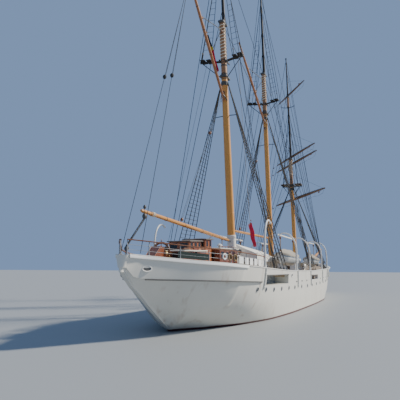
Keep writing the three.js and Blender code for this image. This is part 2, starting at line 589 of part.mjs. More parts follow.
const bladeShape = new THREE.Shape().absellipse(0, 0.56, 0.3, 0.5, 0, 2 * Math.PI);
const screw = [turned(point(PROPELLER.post - TOUCH, 0, PROPELLER.z), point(-25.75, 0, PROPELLER.z),
  [[0, 0.2], [0.5, 0.2], [0.9, 0.1], [1, 0.02]], 12)];
for (let i = 0; i < PROPELLER.blades; i++) {
  const plate = new THREE.ExtrudeGeometry(bladeShape, { depth: 0.06, bevelEnabled: false, curveSegments: 8 });
  plate.translate(0, 0, -0.03).rotateY(PROPELLER.pitch + Math.PI / 2);
  plate.rotateX((i / PROPELLER.blades) * 2 * Math.PI).translate(PROPELLER.x, 0, PROPELLER.z);
  screw.push(solid(plate));
}
addNode('propeller', join(screw), 'bronze');

// Davits on the rail and the boats under them.
// Columns: name, x of the davits, then the boat's half length (none for a single davit).
for (const [side, sign] of SIDES) {
  const post = (x, lean) => {
    const y = sign * (breadth(x, heightOn(RAIL, x)) - 0.06);
    const { height, outreach, radius } = DAVIT;
    const z = Math.max(heightOn(RAIL, x - radius), heightOn(RAIL, x + radius)) + TOUCH;
    const way = lean === 0 ? [0, -sign] : [1, 0];
    const path = [[0, 0], [0, 0.5], [0.12, 0.78], [0.4, 0.95], [0.75, 1], [1, 0.95]];
    const points = [point(x, y, z), ...path.map(([out, up]) => point(x + way[0] * out * outreach,
      y + way[1] * out * outreach, z + 0.3 + up * (height - 0.3)))];
    return { pipe: bent(points, radius, 10, 6), head: points[points.length - 1] };
  };
  addNode(`quarter_davit_${side}`, post(-20.7, 1).pipe, 'white');
  for (const [name, aft, fore] of [['main', -8.85, -1.1], ['fore', 8.3, 13.8]]) {
    const [a, b] = [post(aft, 0), post(fore, 0)];
    const spar = rod(a.head.clone().lerp(b.head, -0.05), a.head.clone().lerp(b.head, 1.05), 0.07, 8);
    addNode(`${name}_davits_${side}`, join(a.pipe, b.pipe, spar), 'white');
    const middle = a.head.clone().lerp(b.head, 0.5);
    const half = (fore - aft) / 2 - 0.25;
    const sections = BOAT.map(([part, width, keel, top]) => {
      const x = middle.x + part * half;
      const port = [[0.1, keel], [0.7, keel + 0.28], [1, keel + 0.75], [0.98, top], [0, top + 0.22]];
      const right = port.map(([w, z]) => point(x, middle.y + w * width, BOAT_KEEL + z));
      const left = port.slice(0, 4).map(([w, z]) => point(x, middle.y - w * width, BOAT_KEEL + z)).reverse();
      return [...right, ...left];
    });
    const boat = solid(new LoftGeometry(sections, { closed: true, capStart: true, capEnd: true }));
    const falls = [0.08, 0.92].map((part) => {
      const top = a.head.clone().lerp(b.head, part);
      return rod(point(top.x, top.y, BOAT_KEEL + 1.1), top.sub(point(0, 0, 0.07 + 2 * TOUCH)), 0.05);
    });
    addNode(`${name}_boat_${side}`, join(boat, falls), 'canvas');
  }
}

// Awning on its ridge over the midship house, on two posts.
const ridge = [[-13.3, 6.85], [-3.4, 6.42]];
const awningSections = ridge.map(([x, z]) => [
  ...AWNING.map(([y, drop]) => point(x, y, z - drop - 0.07)),
  ...AWNING.map(([y, drop]) => point(x, y, z - drop)).reverse(),
]);
const awning = solid(new LoftGeometry(awningSections, { closed: true, capStart: true, capEnd: true }));
const aftPost = rod(point(-13.2, 0, 3.5), point(-13.2, 0, 6.8), 0.06);
const forePost = rod(point(-3.6, 0, 4.9), point(-3.6, 0, 6.38), 0.06);
addNode('awning', seat(seat(join(awning, aftPost, forePost), hull), houses.midship_house), 'canvas');

// Ensign, hanging limp under the mizzen gaff.
const ensignOutline = [[-20.9, 25.2], [-17.9, 22.33], [-17.6, 21.2], [-18.2, 21.2], [-21.2, 24.2]];
const ensign = sideProfile(ensignOutline, -0.04, 0.04);
addNode('ensign', ensign.subtract(spars.mizzen_gaff.translate(0, 0, -TOUCH)), 'flag');

export default ship;
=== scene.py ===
import bmesh
import bpy
import numpy as np
from mathutils import Euler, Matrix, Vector


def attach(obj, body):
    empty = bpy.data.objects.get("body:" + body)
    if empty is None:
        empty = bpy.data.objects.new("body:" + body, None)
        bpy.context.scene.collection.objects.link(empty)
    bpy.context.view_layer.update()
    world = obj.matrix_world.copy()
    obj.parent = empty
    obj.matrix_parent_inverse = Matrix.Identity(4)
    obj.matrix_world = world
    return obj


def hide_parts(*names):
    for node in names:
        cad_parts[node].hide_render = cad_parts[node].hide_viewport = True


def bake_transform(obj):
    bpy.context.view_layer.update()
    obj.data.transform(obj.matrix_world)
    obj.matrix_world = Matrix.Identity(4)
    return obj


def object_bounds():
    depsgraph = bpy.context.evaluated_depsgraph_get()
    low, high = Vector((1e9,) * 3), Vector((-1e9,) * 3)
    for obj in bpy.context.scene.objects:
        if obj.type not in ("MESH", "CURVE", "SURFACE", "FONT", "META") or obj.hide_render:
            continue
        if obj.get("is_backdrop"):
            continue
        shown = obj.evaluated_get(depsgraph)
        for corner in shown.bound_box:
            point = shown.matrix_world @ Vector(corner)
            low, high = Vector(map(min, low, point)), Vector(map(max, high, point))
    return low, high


# The frame is the ship at 1:2, afloat on z = 0, with her bow towards +X and her port side towards +Y.
# Sizes below are metres of the full-size ship. HALF turns them into metres of the model.
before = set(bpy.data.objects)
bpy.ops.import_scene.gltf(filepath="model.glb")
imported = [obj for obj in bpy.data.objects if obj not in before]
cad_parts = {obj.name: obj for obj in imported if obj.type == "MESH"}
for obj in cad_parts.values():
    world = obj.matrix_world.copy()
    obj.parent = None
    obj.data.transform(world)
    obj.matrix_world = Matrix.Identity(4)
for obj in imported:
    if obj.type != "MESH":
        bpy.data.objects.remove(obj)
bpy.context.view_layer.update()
HALF = 0.5


# Studio
# A plain pale floor lies at the waterline under a plain sky, with one soft sun ahead on the starboard side.
# The camera stands on the starboard quarter, a little above the water, and looks up at the masts.
scene = bpy.context.scene


def added(name, data):
    """A new object of the scene with its data."""
    made = bpy.data.objects.new(name, data)
    scene.collection.objects.link(made)
    return made


camera = added("camera", bpy.data.cameras.new("camera"))
camera.data.lens = 38.7
camera.data.sensor_width = 36
camera.data.clip_end = 500
camera.location = Vector((-54.6, -14.5, 4.3)) * HALF
camera.rotation_euler = Euler(np.radians([99.12, -0.3, -66.0]))
scene.camera = camera

sun = added("sun", bpy.data.lights.new("sun", "SUN"))
sun.data.energy = 6.3
sun.data.angle = np.radians(5)
sun.data.color = (1.0, 0.93, 0.82)
sun.rotation_euler = Vector((0.5, -0.62, 0.6)).to_track_quat("Z", "Y").to_euler()

scene.world = bpy.data.worlds.new("sky")
scene.world.use_nodes = True
sky = scene.world.node_tree.nodes["Background"].inputs
sky["Color"].default_value = (0.33, 0.50, 0.84, 1)
sky["Strength"].default_value = 0.62

floor = bpy.data.meshes.new("floor")
reach = 400
floor.from_pydata([(-reach, -reach, 0), (reach, -reach, 0), (reach, reach, 0), (-reach, reach, 0)], [],
                  [range(4)])
floor_paint = bpy.data.materials.new("floor_paint")
floor_paint.use_nodes = True
shader = floor_paint.node_tree.nodes["Principled BSDF"].inputs
shader["Base Color"].default_value = (0.30, 0.32, 0.33, 1)
shader["Roughness"].default_value = 0.6
floor.materials.append(floor_paint)
added("floor", floor)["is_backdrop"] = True


# Hull plating
# Welded steel plating in one skin, the underbody, the counter, the doubled band round the poop and the
# bulwarks, white with rust streaks above a dark red bottom. It is a grid of frames along the ship and of
# levels up each side, faired from a table of offsets.
LEVELS = np.array([-3.6, -2.2, -0.9, 0.4, 1.8])
# Columns: frame x, keel z, then half-breadths at the heights in LEVELS, at the knuckle and at the rail.
OFFSETS = np.array([
    [-33.2, 4.10, 0, 0, 0, 0, 0, 0, 0.35],
    [-32.4, 3.30, 0, 0, 0, 0, 0, 0.42, 0.78],
    [-31.5, 2.75, 0, 0, 0, 0, 0, 0.98, 1.35],
    [-30.0, 1.75, 0, 0, 0, 0, 0, 1.92, 2.32],
    [-28.5, 0.80, 0, 0, 0, 0, 1.35, 2.90, 3.30],
    [-27.0, -0.05, 0, 0, 0, 0.75, 2.45, 3.72, 4.08],
    [-26.0, -0.60, 0, 0, 0, 1.35, 3.05, 4.15, 4.45],
    [-24.902, -1.30, 0, 0, 0.45, 2.05, 3.60, 4.50, 4.75],
    [-24.90, -4.50, 0.15, 0.30, 0.60, 2.05, 3.60, 4.50, 4.75],
    [-21.2, -4.60, 0.25, 0.90, 2.20, 3.70, 4.60, 5.00, 5.15],
    [-16.0, -4.60, 0.90, 2.50, 4.00, 4.70, 5.05, 5.20, 5.28],
    [-8.0, -4.60, 2.20, 4.10, 4.85, 5.10, 5.25, 5.30, 5.30],
    [2.0, -4.60, 2.60, 4.40, 5.00, 5.20, 5.30, 5.30, 5.30],
    [10.0, -4.55, 2.10, 4.00, 4.75, 5.05, 5.20, 5.28, 5.30],
    [16.0, -4.45, 1.10, 2.90, 3.90, 4.45, 4.80, 5.05, 5.20],
    [19.0, -4.40, 0.70, 2.20, 3.20, 3.85, 4.35, 4.70, 4.95],
    [23.0, -4.20, 0.35, 1.20, 1.95, 2.60, 3.20, 3.75, 4.20],
    [27.0, -3.30, 0, 0.45, 0.85, 1.30, 1.80, 2.40, 3.05],
    [30.0, -1.20, 0, 0, 0.20, 0.45, 0.85, 1.30, 1.95],
    [32.3, 1.50, 0, 0, 0, 0, 0.20, 0.50, 1.05],
    [34.0, 4.00, 0, 0, 0, 0, 0, 0.16, 0.36],
])
STERN, STEM, STERN_POST = OFFSETS[0, 0], OFFSETS[-1, 0], -24.901
AFT_ROWS = 8
FIN = 0.14
OFFSETS[:, 2:] = np.maximum(OFFSETS[:, 2:], FIN)
POOP_BREAK, FORECASTLE_BREAK, BAND_END = -12.6, 19.0, -21.2
BAND = 0.1
BULWARK = 0.12
PLANKING = 0.06
LINES = {
    "knuckle": ([STERN, BAND_END, STEM], [3.72, 3.34, 4.4]),
    "rail": ([STERN, -29, -24.5, BAND_END, POOP_BREAK, 2, FORECASTLE_BREAK, STEM],
             [5.1, 4.78, 4.53, 4.4, 4.16, 4.14, 4.55, 5.6]),
    "poop": ([STERN, POOP_BREAK], [4.4, 3.98]),
    "main": ([POOP_BREAK, 2, FORECASTLE_BREAK], [2.95, 2.95, 3.2]),
    "forecastle": ([FORECASTLE_BREAK, STEM], [4.3, 5.25]),
}
SIDE_DOOR = {"x": (-20.2, -13.0), "z": (3.0, 3.8), "depth": 1.1}
SIDE_PORT = {"x": (-0.6, 4.4), "z": (3.12, 3.68)}


def xyz(x, y, z):
    """Points (..., 3) from coordinates that broadcast together."""
    return np.stack(np.broadcast_arrays(x, y, z), -1).astype(float)


def line(name, x):
    """Height of a named line of the ship at x, straight between its points."""
    return np.interp(x, *LINES[name])


def deck_height(x):
    """Height of the deck at x: the poop aft, the main deck amidships, the forecastle forward."""
    raised = np.where(x < POOP_BREAK, line("poop", x), line("forecastle", x))
    return np.where((x > POOP_BREAK) & (x < FORECASTLE_BREAK), line("main", x), raised)


def faired(at, xs, ys):
    """A curve through points, cubic between each two. Its slopes are harmonic means of the chords."""
    step = np.diff(xs)
    chord = np.diff(ys) / step
    same = chord[..., :-1] * chord[..., 1:]
    total = chord[..., :-1] + chord[..., 1:]
    inner = np.where(same > 0, 2 * same / np.where(same > 0, total, 1), 0)
    slope = np.concatenate([chord[..., :1], inner, chord[..., -1:]], -1)
    cell = (at[..., None] >= xs[..., None, 1:-1]).sum(-1)
    x0, y0, h = [np.take_along_axis(a, cell, -1) for a in (xs, ys, step)]
    y1, m0, m1 = [np.take_along_axis(a, cell + k, -1) for a, k in ((ys, 1), (slope, 0), (slope, 1))]
    t = (at - x0) / h
    rise = y0 + (y1 - y0) * t * t * (3 - 2 * t)
    return rise + h * t * (1 - t) * (m0 * (1 - t) - m1 * t)


def half_breadth(x, z):
    """Half-breadth of the plating at frames x (n,) and heights z (n, m), and the keel's height there."""
    width = np.empty((8, len(x)))
    for rows, here in ((OFFSETS[:AFT_ROWS], x < STERN_POST), (OFFSETS[AFT_ROWS:], x >= STERN_POST)):
        at = np.clip(x[here], rows[0, 0], rows[-1, 0])
        width[:, here] = faired(at, np.broadcast_to(rows[:, 0], (8, len(rows))), rows[:, 1:].T)
    keel = width[0]
    height = np.stack(np.broadcast_arrays(keel, *LEVELS, line("knuckle", x), line("rail", x)), 1)
    width = np.where(height > keel[:, None], width.T, FIN)
    height = np.maximum(height, keel[:, None] + np.arange(8) * 0.012)
    return faired(np.clip(z, height[:, :1], height[:, -1:]), height, width), keel


def edge(x, z, band=BAND):
    """Half-breadth of the plating's outer face at frames x and heights z, the doubled band included."""
    x, z = np.broadcast_arrays(np.asarray(x, float), z)
    reach, _ = half_breadth(x.ravel(), z.reshape(-1, 1))
    return reach.reshape(x.shape) + np.where(x < BAND_END, band, 0)


def build(name, patches, finish, body="ship", stands_for=""):
    """One piece from grids of points (..., rows, columns, 3) in metres of the ship, with the body it rides
    on and the CAD nodes it stands for. A patch is an open grid, or a tuple: the grid, whether its last column
    joins the first, and a mask of the cells that stay, or None.
    Points that fall together are merged, which closes seams and poles."""
    places, corners, maps, start = [], [], [], 0
    for patch in patches:
        points, wrap, keep = patch if isinstance(patch, tuple) else (patch, False, None)
        rows, columns = points.shape[-3:-1]
        points = points.reshape(-1, rows, columns, 3)
        index = np.arange(points[..., 0].size).reshape(points.shape[:3]) + start
        beside = np.roll(index, -1, 2)
        last = columns if wrap else columns - 1
        quads = np.stack([index[:, :-1], beside[:, :-1], beside[:, 1:], index[:, 1:]], -1)[:, :, :last]
        flat = np.stack(np.meshgrid(np.arange(last + 1) / last, np.arange(rows) / (rows - 1)), -1)
        square = np.stack([flat[:-1, :-1], flat[:-1, 1:], flat[1:, 1:], flat[1:, :-1]], -2)
        mask = np.broadcast_to(True if keep is None else keep, quads.shape[:3])
        corners.append(quads[mask])
        maps.append(np.broadcast_to(square, (*quads.shape, 2))[mask])
        places.append(points.reshape(-1, 3))
        start += len(places[-1])
    place, corner, uv = (np.concatenate(parts) for parts in (places, corners, maps))
    mesh = bpy.data.meshes.new(name)
    mesh.vertices.add(len(place))
    mesh.vertices.foreach_set("co", place.ravel() * HALF)
    mesh.loops.add(corner.size)
    mesh.loops.foreach_set("vertex_index", corner.ravel().astype(np.int32))
    mesh.polygons.add(len(corner))
    mesh.polygons.foreach_set("loop_start", np.arange(0, corner.size, 4, dtype=np.int32))
    mesh.update(calc_edges=True)
    mesh.uv_layers.new(name="uv").data.foreach_set("uv", uv.ravel())
    soft = bmesh.new()
    soft.from_mesh(mesh)
    bmesh.ops.remove_doubles(soft, verts=soft.verts, dist=1e-5)
    soft.to_mesh(mesh)
    soft.free()
    mesh.polygons.foreach_set("use_smooth", np.ones(len(mesh.polygons), bool))
    mesh.set_sharp_from_angle(angle=np.radians(35))
    mesh.materials.append(finish)
    piece = added(name, mesh)
    if body:
        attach(piece, body)
    if stands_for:
        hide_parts(*stands_for.split())
    return piece


def mirrored(patches):
    """The same patches on the other side of the ship, with their faces turned to point outwards again."""
    turned_over = []
    for patch in patches:
        points, wrap, keep = patch if isinstance(patch, tuple) else (patch, False, None)
        points = (points * [1, -1, 1])[..., ::-1, :]
        turned_over.append((points, wrap, None if keep is None else keep[..., ::-1]))
    return turned_over


def both(*patches):
    """Patches made for the port side, and the same on the starboard side."""
    return [*patches, *mirrored(patches)]


def pair(name, patches, finish, stands_for=""):
    """Two pieces, port and starboard, from patches made for the port side. Each name gets its side's."""
    return [build(name + side, parts, finish, stands_for=stands_for and stands_for + side)
            for side, parts in (("_port", patches), ("_starboard", mirrored(patches)))]


def node(tree, kind, inputs=None, **settings):
    """A shader node with its settings made and each named input either linked or given its value."""
    made = tree.nodes.new(kind)
    for key, value in settings.items():
        setattr(made, key, value)
    for key, value in (inputs or {}).items():
        if isinstance(value, bpy.types.NodeSocket):
            tree.links.new(value, made.inputs[key])
        else:
            made.inputs[key].default_value = value
    return made


def group(name, inputs):
    """A shader node group with its inputs, each given as (name, kind, value), and the outputs of a finish.
    Returns it with the sockets of its inputs and of the place on the object."""
    tree = bpy.data.node_groups.new(name, "ShaderNodeTree")
    for label, kind, value in inputs:
        socket = tree.interface.new_socket(label, in_out="INPUT", socket_type="NodeSocket" + kind)
        socket.default_value = value
    for label, kind in (("Colour", "Color"), ("Roughness", "Float"), ("Height", "Float")):
        tree.interface.new_socket(label, in_out="OUTPUT", socket_type="NodeSocket" + kind)
    return tree, node(tree, "NodeGroupInput").outputs, node(tree, "ShaderNodeTexCoord").outputs["Object"]


def ramp(tree, value, low, high):
    """0 below low, 1 above high, straight between them."""
    scaled = node(tree, "ShaderNodeMapRange", {"Value": value, "From Min": low, "From Max": high})
    return scaled.outputs["Result"]


def mix(tree, factor, a, b):
    """Colour a where the factor is 0 and b where it is 1."""
    return node(tree, "ShaderNodeMix", {"Factor": factor, 6: a, 7: b}, data_type="RGBA").outputs[2]


def maths(tree, operation, a, b=0.0):
    """One sum on two values."""
    return node(tree, "ShaderNodeMath", {0: a, 1: b}, operation=operation).outputs[0]


def noise(tree, where, scale, detail=3.0, stretch=(1, 1, 1)):
    """Noise at a place, drawn out along the axes where the stretch is small."""
    mapped = node(tree, "ShaderNodeMapping", {"Vector": where, "Scale": stretch})
    made = node(tree, "ShaderNodeTexNoise", {"Vector": mapped.outputs[0], "Scale": scale, "Detail": detail})
    return made.outputs["Fac"]


# Weathered paint: broad fading, fine dirt, and streaks that run straight down.
weather, given, where = group("weathered_paint", [
    ("Colour", "Color", (0.8, 0.8, 0.8, 1)), ("Stain", "Color", (0.3, 0.16, 0.07, 1)),
    ("Streaks", "Float", 0.5), ("Fading", "Float", 0.15), ("Roughness", "Float", 0.45)])
broad = noise(weather, where, 0.7, 4)
run = ramp(weather, noise(weather, where, 3.2, 3, (1, 1, 0.06)), 0.56, 0.74)
patchy = ramp(weather, noise(weather, where, 0.8, 2), 0.42, 0.66)
faded = maths(weather, "MULTIPLY", broad, given["Fading"])
faded = mix(weather, faded, given["Colour"], (0.42, 0.42, 0.38, 1))
run = maths(weather, "MULTIPLY", maths(weather, "MULTIPLY", run, patchy), given["Streaks"])
node(weather, "NodeGroupOutput", {
    "Colour": mix(weather, run, faded, given["Stain"]), "Height": noise(weather, where, 24, 3),
    "Roughness": maths(weather, "ADD", maths(weather, "MULTIPLY", broad, 0.25), given["Roughness"])})


def finished(name, tree_group, values, bump=0.15, distance=0.002, slot="", **constants):
    """A material whose colour, roughness and relief come from a node group with the given values. The slot
    argument is not used. Constants, such as coat weight, are set on the shader itself."""
    material = bpy.data.materials.new(name)
    material.use_nodes = True
    tree = material.node_tree
    worn = node(tree, "ShaderNodeGroup", values, node_tree=tree_group)
    relief = node(tree, "ShaderNodeBump", {"Strength": bump, "Distance": distance,
                                           "Height": worn.outputs["Height"]})
    shader = tree.nodes["Principled BSDF"].inputs
    tree.links.new(worn.outputs["Colour"], shader["Base Color"])
    tree.links.new(worn.outputs["Roughness"], shader["Roughness"])
    tree.links.new(relief.outputs[0], shader["Normal"])
    for key, value in constants.items():
        shader[key.replace("_", " ")].default_value = value
    return material


def painted(name, colour, streaks=0.3, fading=0.15, roughness=0.45, stain=(0.3, 0.16, 0.07, 1), **more):
    """Weathered paint of one colour."""
    values = {"Colour": (*colour, 1), "Stain": stain, "Streaks": streaks, "Fading": fading,
              "Roughness": roughness}
    return finished(name, weather, values, **more)


topsides = painted("topsides", (0.74, 0.73, 0.66), streaks=0.55, fading=0.3, roughness=0.3, slot="hull_paint")
# Below the boot-top the same plating is dark red.
tree = topsides.node_tree
skin_colour = tree.nodes["Principled BSDF"].inputs["Base Color"]
place = node(tree, "ShaderNodeSeparateXYZ", {0: node(tree, "ShaderNodeTexCoord").outputs["Object"]})
afloat = ramp(tree, place.outputs["Z"], 0.075, 0.085)
afloat = mix(tree, afloat, (0.10, 0.022, 0.018, 1), skin_colour.links[0].from_socket)
tree.links.new(afloat, skin_colour)
white_paint = painted("white_paint", (0.80, 0.79, 0.74), streaks=0.2, fading=0.12)

frames_x = np.unique(np.concatenate([
    np.linspace(STERN, STEM, 135), [STERN_POST - 0.001, STERN_POST + 0.001], SIDE_DOOR["x"], SIDE_PORT["x"],
    *[(stop - 0.005, stop + 0.005) for stop in (BAND_END, POOP_BREAK, FORECASTLE_BREAK)],
]))
# Beyond both ends the plating closes in half an ellipse.
STERN_ROUND, STEM_ROUND = 0.3, 0.12
turn = np.radians([15, 30, 45, 60, 75, 90])
ship_x = np.concatenate([STERN - STERN_ROUND * np.sin(turn[::-1]), frames_x,
                         STEM + STEM_ROUND * np.sin(turn)])
narrow = np.concatenate([np.cos(turn[::-1]), np.ones(frames_x.size), np.cos(turn)])
knuckle_z, rail_z, deck_z = line("knuckle", ship_x), line("rail", ship_x), deck_height(ship_x)
under = np.concatenate([np.linspace(-4.6, -1.4, 9), np.linspace(-1.0, 1.8, 9)])
low_z = np.broadcast_to(under, (ship_x.size, under.size))
free = np.array([2.2, 2.6, SIDE_DOOR["z"][0], SIDE_PORT["z"][0], 3.4, SIDE_PORT["z"][1], SIDE_DOOR["z"][1]])
fore_z = np.column_stack([np.broadcast_to(free, (ship_x.size, 7)), 0.5 * (free[-1] + rail_z), rail_z])
part = np.array([0.3, 0.65, 1.0])
band_part = np.array([0.001, 0.02, 0.3, 0.6, 0.98, 1.0])
aft_z = np.concatenate([1.8 + (knuckle_z[:, None] - 1.8) * part,
                        knuckle_z[:, None] + (rail_z - knuckle_z)[:, None] * band_part], 1)
is_aft = ship_x < BAND_END
side_z = np.concatenate([low_z, np.where(is_aft[:, None], aft_z, fore_z)], 1)
_, keel_z = half_breadth(ship_x, side_z)
side_z = np.maximum(side_z, keel_z[:, None] + np.arange(side_z.shape[1]) * 0.012)
side_z = np.minimum(side_z, rail_z[:, None] - np.arange(side_z.shape[1])[::-1] * 0.002)
side_y, _ = half_breadth(ship_x, side_z)
proud = np.zeros(side_z.shape[1])
proud[under.size + 4:] = BAND
side_y = (side_y + is_aft[:, None] * proud) * narrow[:, None]
keel_row = xyz(ship_x, 0, keel_z)[:, None]
side = xyz(ship_x[:, None], side_y, side_z)
# The bulwark's inner face lies one thickness inside the rail, square to the rail's line in plan.
run_x, run_y = np.gradient(ship_x), np.gradient(side_y[:, -1])
inward = np.stack([run_y, -run_x], -1) / np.hypot(run_x, run_y)[:, None] * BULWARK
inward[(np.abs(ship_x - POOP_BREAK) < 1) | (np.abs(ship_x - FORECASTLE_BREAK) < 1), 0] = 0


def inside(z):
    """The line along the ship, at heights z (n,), that lies one bulwark's thickness inside the plating."""
    reach, _ = half_breadth(ship_x, z[:, None])
    y = np.maximum((reach[:, 0] + is_aft * BAND) * narrow + inward[:, 1], 0)
    return xyz(ship_x + inward[:, 0], y, z)


bed_z = deck_z - PLANKING
port_low, port_high = SIDE_PORT["z"]
levels = (rail_z, np.maximum(port_high, bed_z + 0.02), np.maximum(port_low, bed_z + 0.01), bed_z)
inner = np.stack([inside(level) for level in levels], 1)
centre = inner[:, -1:] * [1, 0, 1]
section = np.concatenate([keel_row, side, inner, centre], 1)
middle_x = 0.5 * (ship_x[:-1] + ship_x[1:])[:, None]
middle_z = 0.25 * (section[:-1, :-1, 2] + section[1:, :-1, 2] + section[:-1, 1:, 2] + section[1:, 1:, 2])
# Each opening is a hole with a lining of jambs, sill and lintel. The recess in the poop's side has a back
# too, and the port in the bulwark goes through to its inner face.
holes, linings = np.zeros(middle_z.shape, bool), []
for opening in (SIDE_DOOR, SIDE_PORT):
    (aft, fore), (sill, lintel) = opening["x"], opening["z"]
    holes |= (middle_x > aft) & (middle_x < fore) & (middle_z > sill) & (middle_z < lintel)
    frames = (ship_x >= aft - 1e-6) & (ship_x <= fore + 1e-6)
    first, last = (np.abs(side[frames][0, :, 2] - z).argmin() for z in (sill, lintel))
    low, high = side[frames][:, first], side[frames][:, last]
    back_low, back_high = inner[frames, 2], inner[frames, 1]
    if "depth" in opening:
        back_low, back_high = (row * [1, 0, 1] + [0, low[0, 1] - opening["depth"], 0] for row in (low, high))
        linings.append(np.stack([back_low, back_high], 1))
    jambs = side[frames][[0, -1], first:last + 1]
    lift = (jambs[..., 2:] - sill) / (lintel - sill)
    ends = back_low[[0, -1], None] * (1 - lift) + back_high[[0, -1], None] * lift
    jambs = np.stack([jambs, ends], 2)
    linings += [np.stack([low, back_low], 1), np.stack([back_high, high], 1), jambs[0][:, ::-1], jambs[1]]
build("hull_plating", both((section[:, ::-1], False, ~holes[:, ::-1]), *linings), topsides, stands_for=(
    "hull poop_sides poop_deck poop_bulwark forecastle_bulwark bulwark_port_aft bulwark_port_middle "
    "bulwark_port_fore bulwark_starboard"))


# Deck planking
# Teak planks laid fore and aft on the steel decks, payed with black compound, worn grey by feet and salt.
# Three slabs follow the inside of the bulwarks: the poop, the main deck and the forecastle.
def lofted(sections):
    """A closed skin over rings of points (..., m, k, 3), each end gathered to its middle."""
    ends = np.broadcast_to(sections.mean(-2, keepdims=True), sections.shape)
    return np.concatenate([ends[..., :1, :, :], sections, ends[..., -1:, :, :]], -3), True, None


timber, given, where = group("timber_grain", [
    ("Colour", "Color", (0.4, 0.2, 0.1, 1)), ("Dark", "Color", (0.15, 0.07, 0.03, 1)),
    ("Stretch", "Vector", (0.05, 1, 1)), ("Grain", "Float", 0.6), ("Wear", "Float", 0.2),
    ("Roughness", "Float", 0.5)])
drawn = node(timber, "ShaderNodeVectorMath", {0: where, 1: given["Stretch"]}, operation="MULTIPLY").outputs[0]
fibre = noise(timber, drawn, 55, 5)
figure = noise(timber, drawn, 9, 3)
grained = mix(timber, maths(timber, "MULTIPLY", ramp(timber, fibre, 0.38, 0.68), given["Grain"]),
              given["Colour"], given["Dark"])
worn = maths(timber, "MULTIPLY", ramp(timber, figure, 0.5, 0.75), given["Wear"])
node(timber, "NodeGroupOutput", {
    "Colour": mix(timber, worn, grained, (0.46, 0.42, 0.36, 1)), "Height": fibre,
    "Roughness": maths(timber, "ADD", maths(timber, "MULTIPLY", fibre, 0.2), given["Roughness"])})


def wooden(name, colour, dark, stretch=(0.05, 1, 1), grain=0.6, wear=0.2, roughness=0.4, **more):
    """Wood of one colour with darker grain. The grain runs along the axis whose stretch is small."""
    values = {"Colour": (*colour, 1), "Dark": (*dark, 1), "Stretch": stretch, "Grain": grain, "Wear": wear,
              "Roughness": roughness}
    return finished(name, timber, values, **more)


deck_teak = wooden("deck_teak", (0.42, 0.32, 0.22), (0.25, 0.17, 0.10), grain=0.5, wear=0.6, roughness=0.6,
                   slot="teak")
# Seams between planks: dark lines along the ship and staggered butts across it.
tree = deck_teak.node_tree
plank_colour = tree.nodes["Principled BSDF"].inputs["Base Color"]
bricks = node(tree, "ShaderNodeTexBrick", {
    "Vector": node(tree, "ShaderNodeTexCoord").outputs["Object"], "Color1": (1, 1, 1, 1),
    "Color2": (0.8, 0.8, 0.8, 1), "Mortar": (0.02, 0.02, 0.02, 1), "Scale": 1.0, "Mortar Size": 0.004,
    "Brick Width": 2.6, "Row Height": 0.065})
seamed = node(tree, "ShaderNodeMix", {"Factor": 1.0, 6: plank_colour.links[0].from_socket,
                                      7: bricks.outputs["Color"]}, data_type="RGBA", blend_type="MULTIPLY")
tree.links.new(seamed.outputs[2], plank_colour)

planks = []
for aft, fore in ((STERN, POOP_BREAK), (POOP_BREAK, FORECASTLE_BREAK), (FORECASTLE_BREAK, STEM - 0.3)):
    x = np.linspace(aft + 0.13, fore - 0.01, 60)
    z = deck_height(x)
    y = np.maximum(edge(x, z) - BULWARK * 1.05, 0.02)
    ring = ((-y, z - PLANKING), (y, z - PLANKING), (y, z), (-y, z))
    planks.append(lofted(np.stack([xyz(x, *corner) for corner in ring], 1)))
build("deck_planks", planks, deck_teak)


# Rail caps and strip
# A flat white cap runs along the top of the bulwarks. Round the poop a deep white rubbing strip stands out
# from the plating under it, and along the waist flat stays of plate hold the bulwark up from the deck.
def unit(v):
    """Vectors (..., 3) scaled to length one."""
    return v / np.maximum(np.linalg.norm(v, axis=-1, keepdims=True), 1e-12)


def rounded(width, height, rise=0.0):
    """A rounded rectangle as (across, up): half its sizes times cos and sin raised to a small power."""
    angle = (np.arange(12) + 0.5) / 12 * 2 * np.pi
    flat = np.stack([np.cos(angle), np.sin(angle)], -1)
    return np.sign(flat) * np.abs(flat) ** 0.45 * [width / 2, height / 2] + [0, rise]


def moulding(path, profile):
    """A bar of one profile (across, up) carried along level paths (..., m, 3)."""
    way = unit(np.gradient(path, axis=-2))
    beside = unit(np.cross([0, 0, 1], way))
    lift = np.array([0, 0, 1.0]) * profile[:, 1:]
    return lofted(path[..., None, :] + beside[..., None, :] * profile[:, :1] + lift)


def on_rail(x, inset=0.06, up=0.0):
    """Points on the port rail at frames x, inset from the plating's outer face and lifted."""
    z = line("rail", x)
    return xyz(x, edge(x, z) - inset, z + up)


cap_line = on_rail(np.linspace(STERN + 0.05, STEM - 0.03, 160), BULWARK / 2)
build("rail_caps", both(moulding(cap_line, rounded(BULWARK + 0.1, 0.07, 0.034))), white_paint)
strip_paint = painted("strip_paint", (0.93, 0.93, 0.90), streaks=0.1, fading=0.05, roughness=0.35,
                      slot="white_paint")
strip = moulding(on_rail(np.linspace(STERN + 0.02, -24.4, 60), -0.03), rounded(0.07, 0.17, -0.08))
build("rubbing_strip", both(strip), strip_paint)

stay_x = np.arange(POOP_BREAK + 1.2, FORECASTLE_BREAK - 0.6, 1.15)
stay_x = stay_x[(stay_x < SIDE_PORT["x"][0] - 0.2) | (stay_x > SIDE_PORT["x"][1] + 0.2)]
top, foot = line("rail", stay_x), line("main", stay_x)
y = edge(stay_x, top) - BULWARK
corners = ((y + 0.02, top), (y - 0.12, top), (y - 0.42, foot + 0.02), (y - 0.42, foot - 0.02),
           (y + 0.02, foot - 0.02))
faces = [np.stack([xyz(stay_x + half, *corner) for corner in corners], 1) for half in (-0.02, 0.02)]
build("bulwark_stays", both(lofted(np.stack(faces, 1))), white_paint)
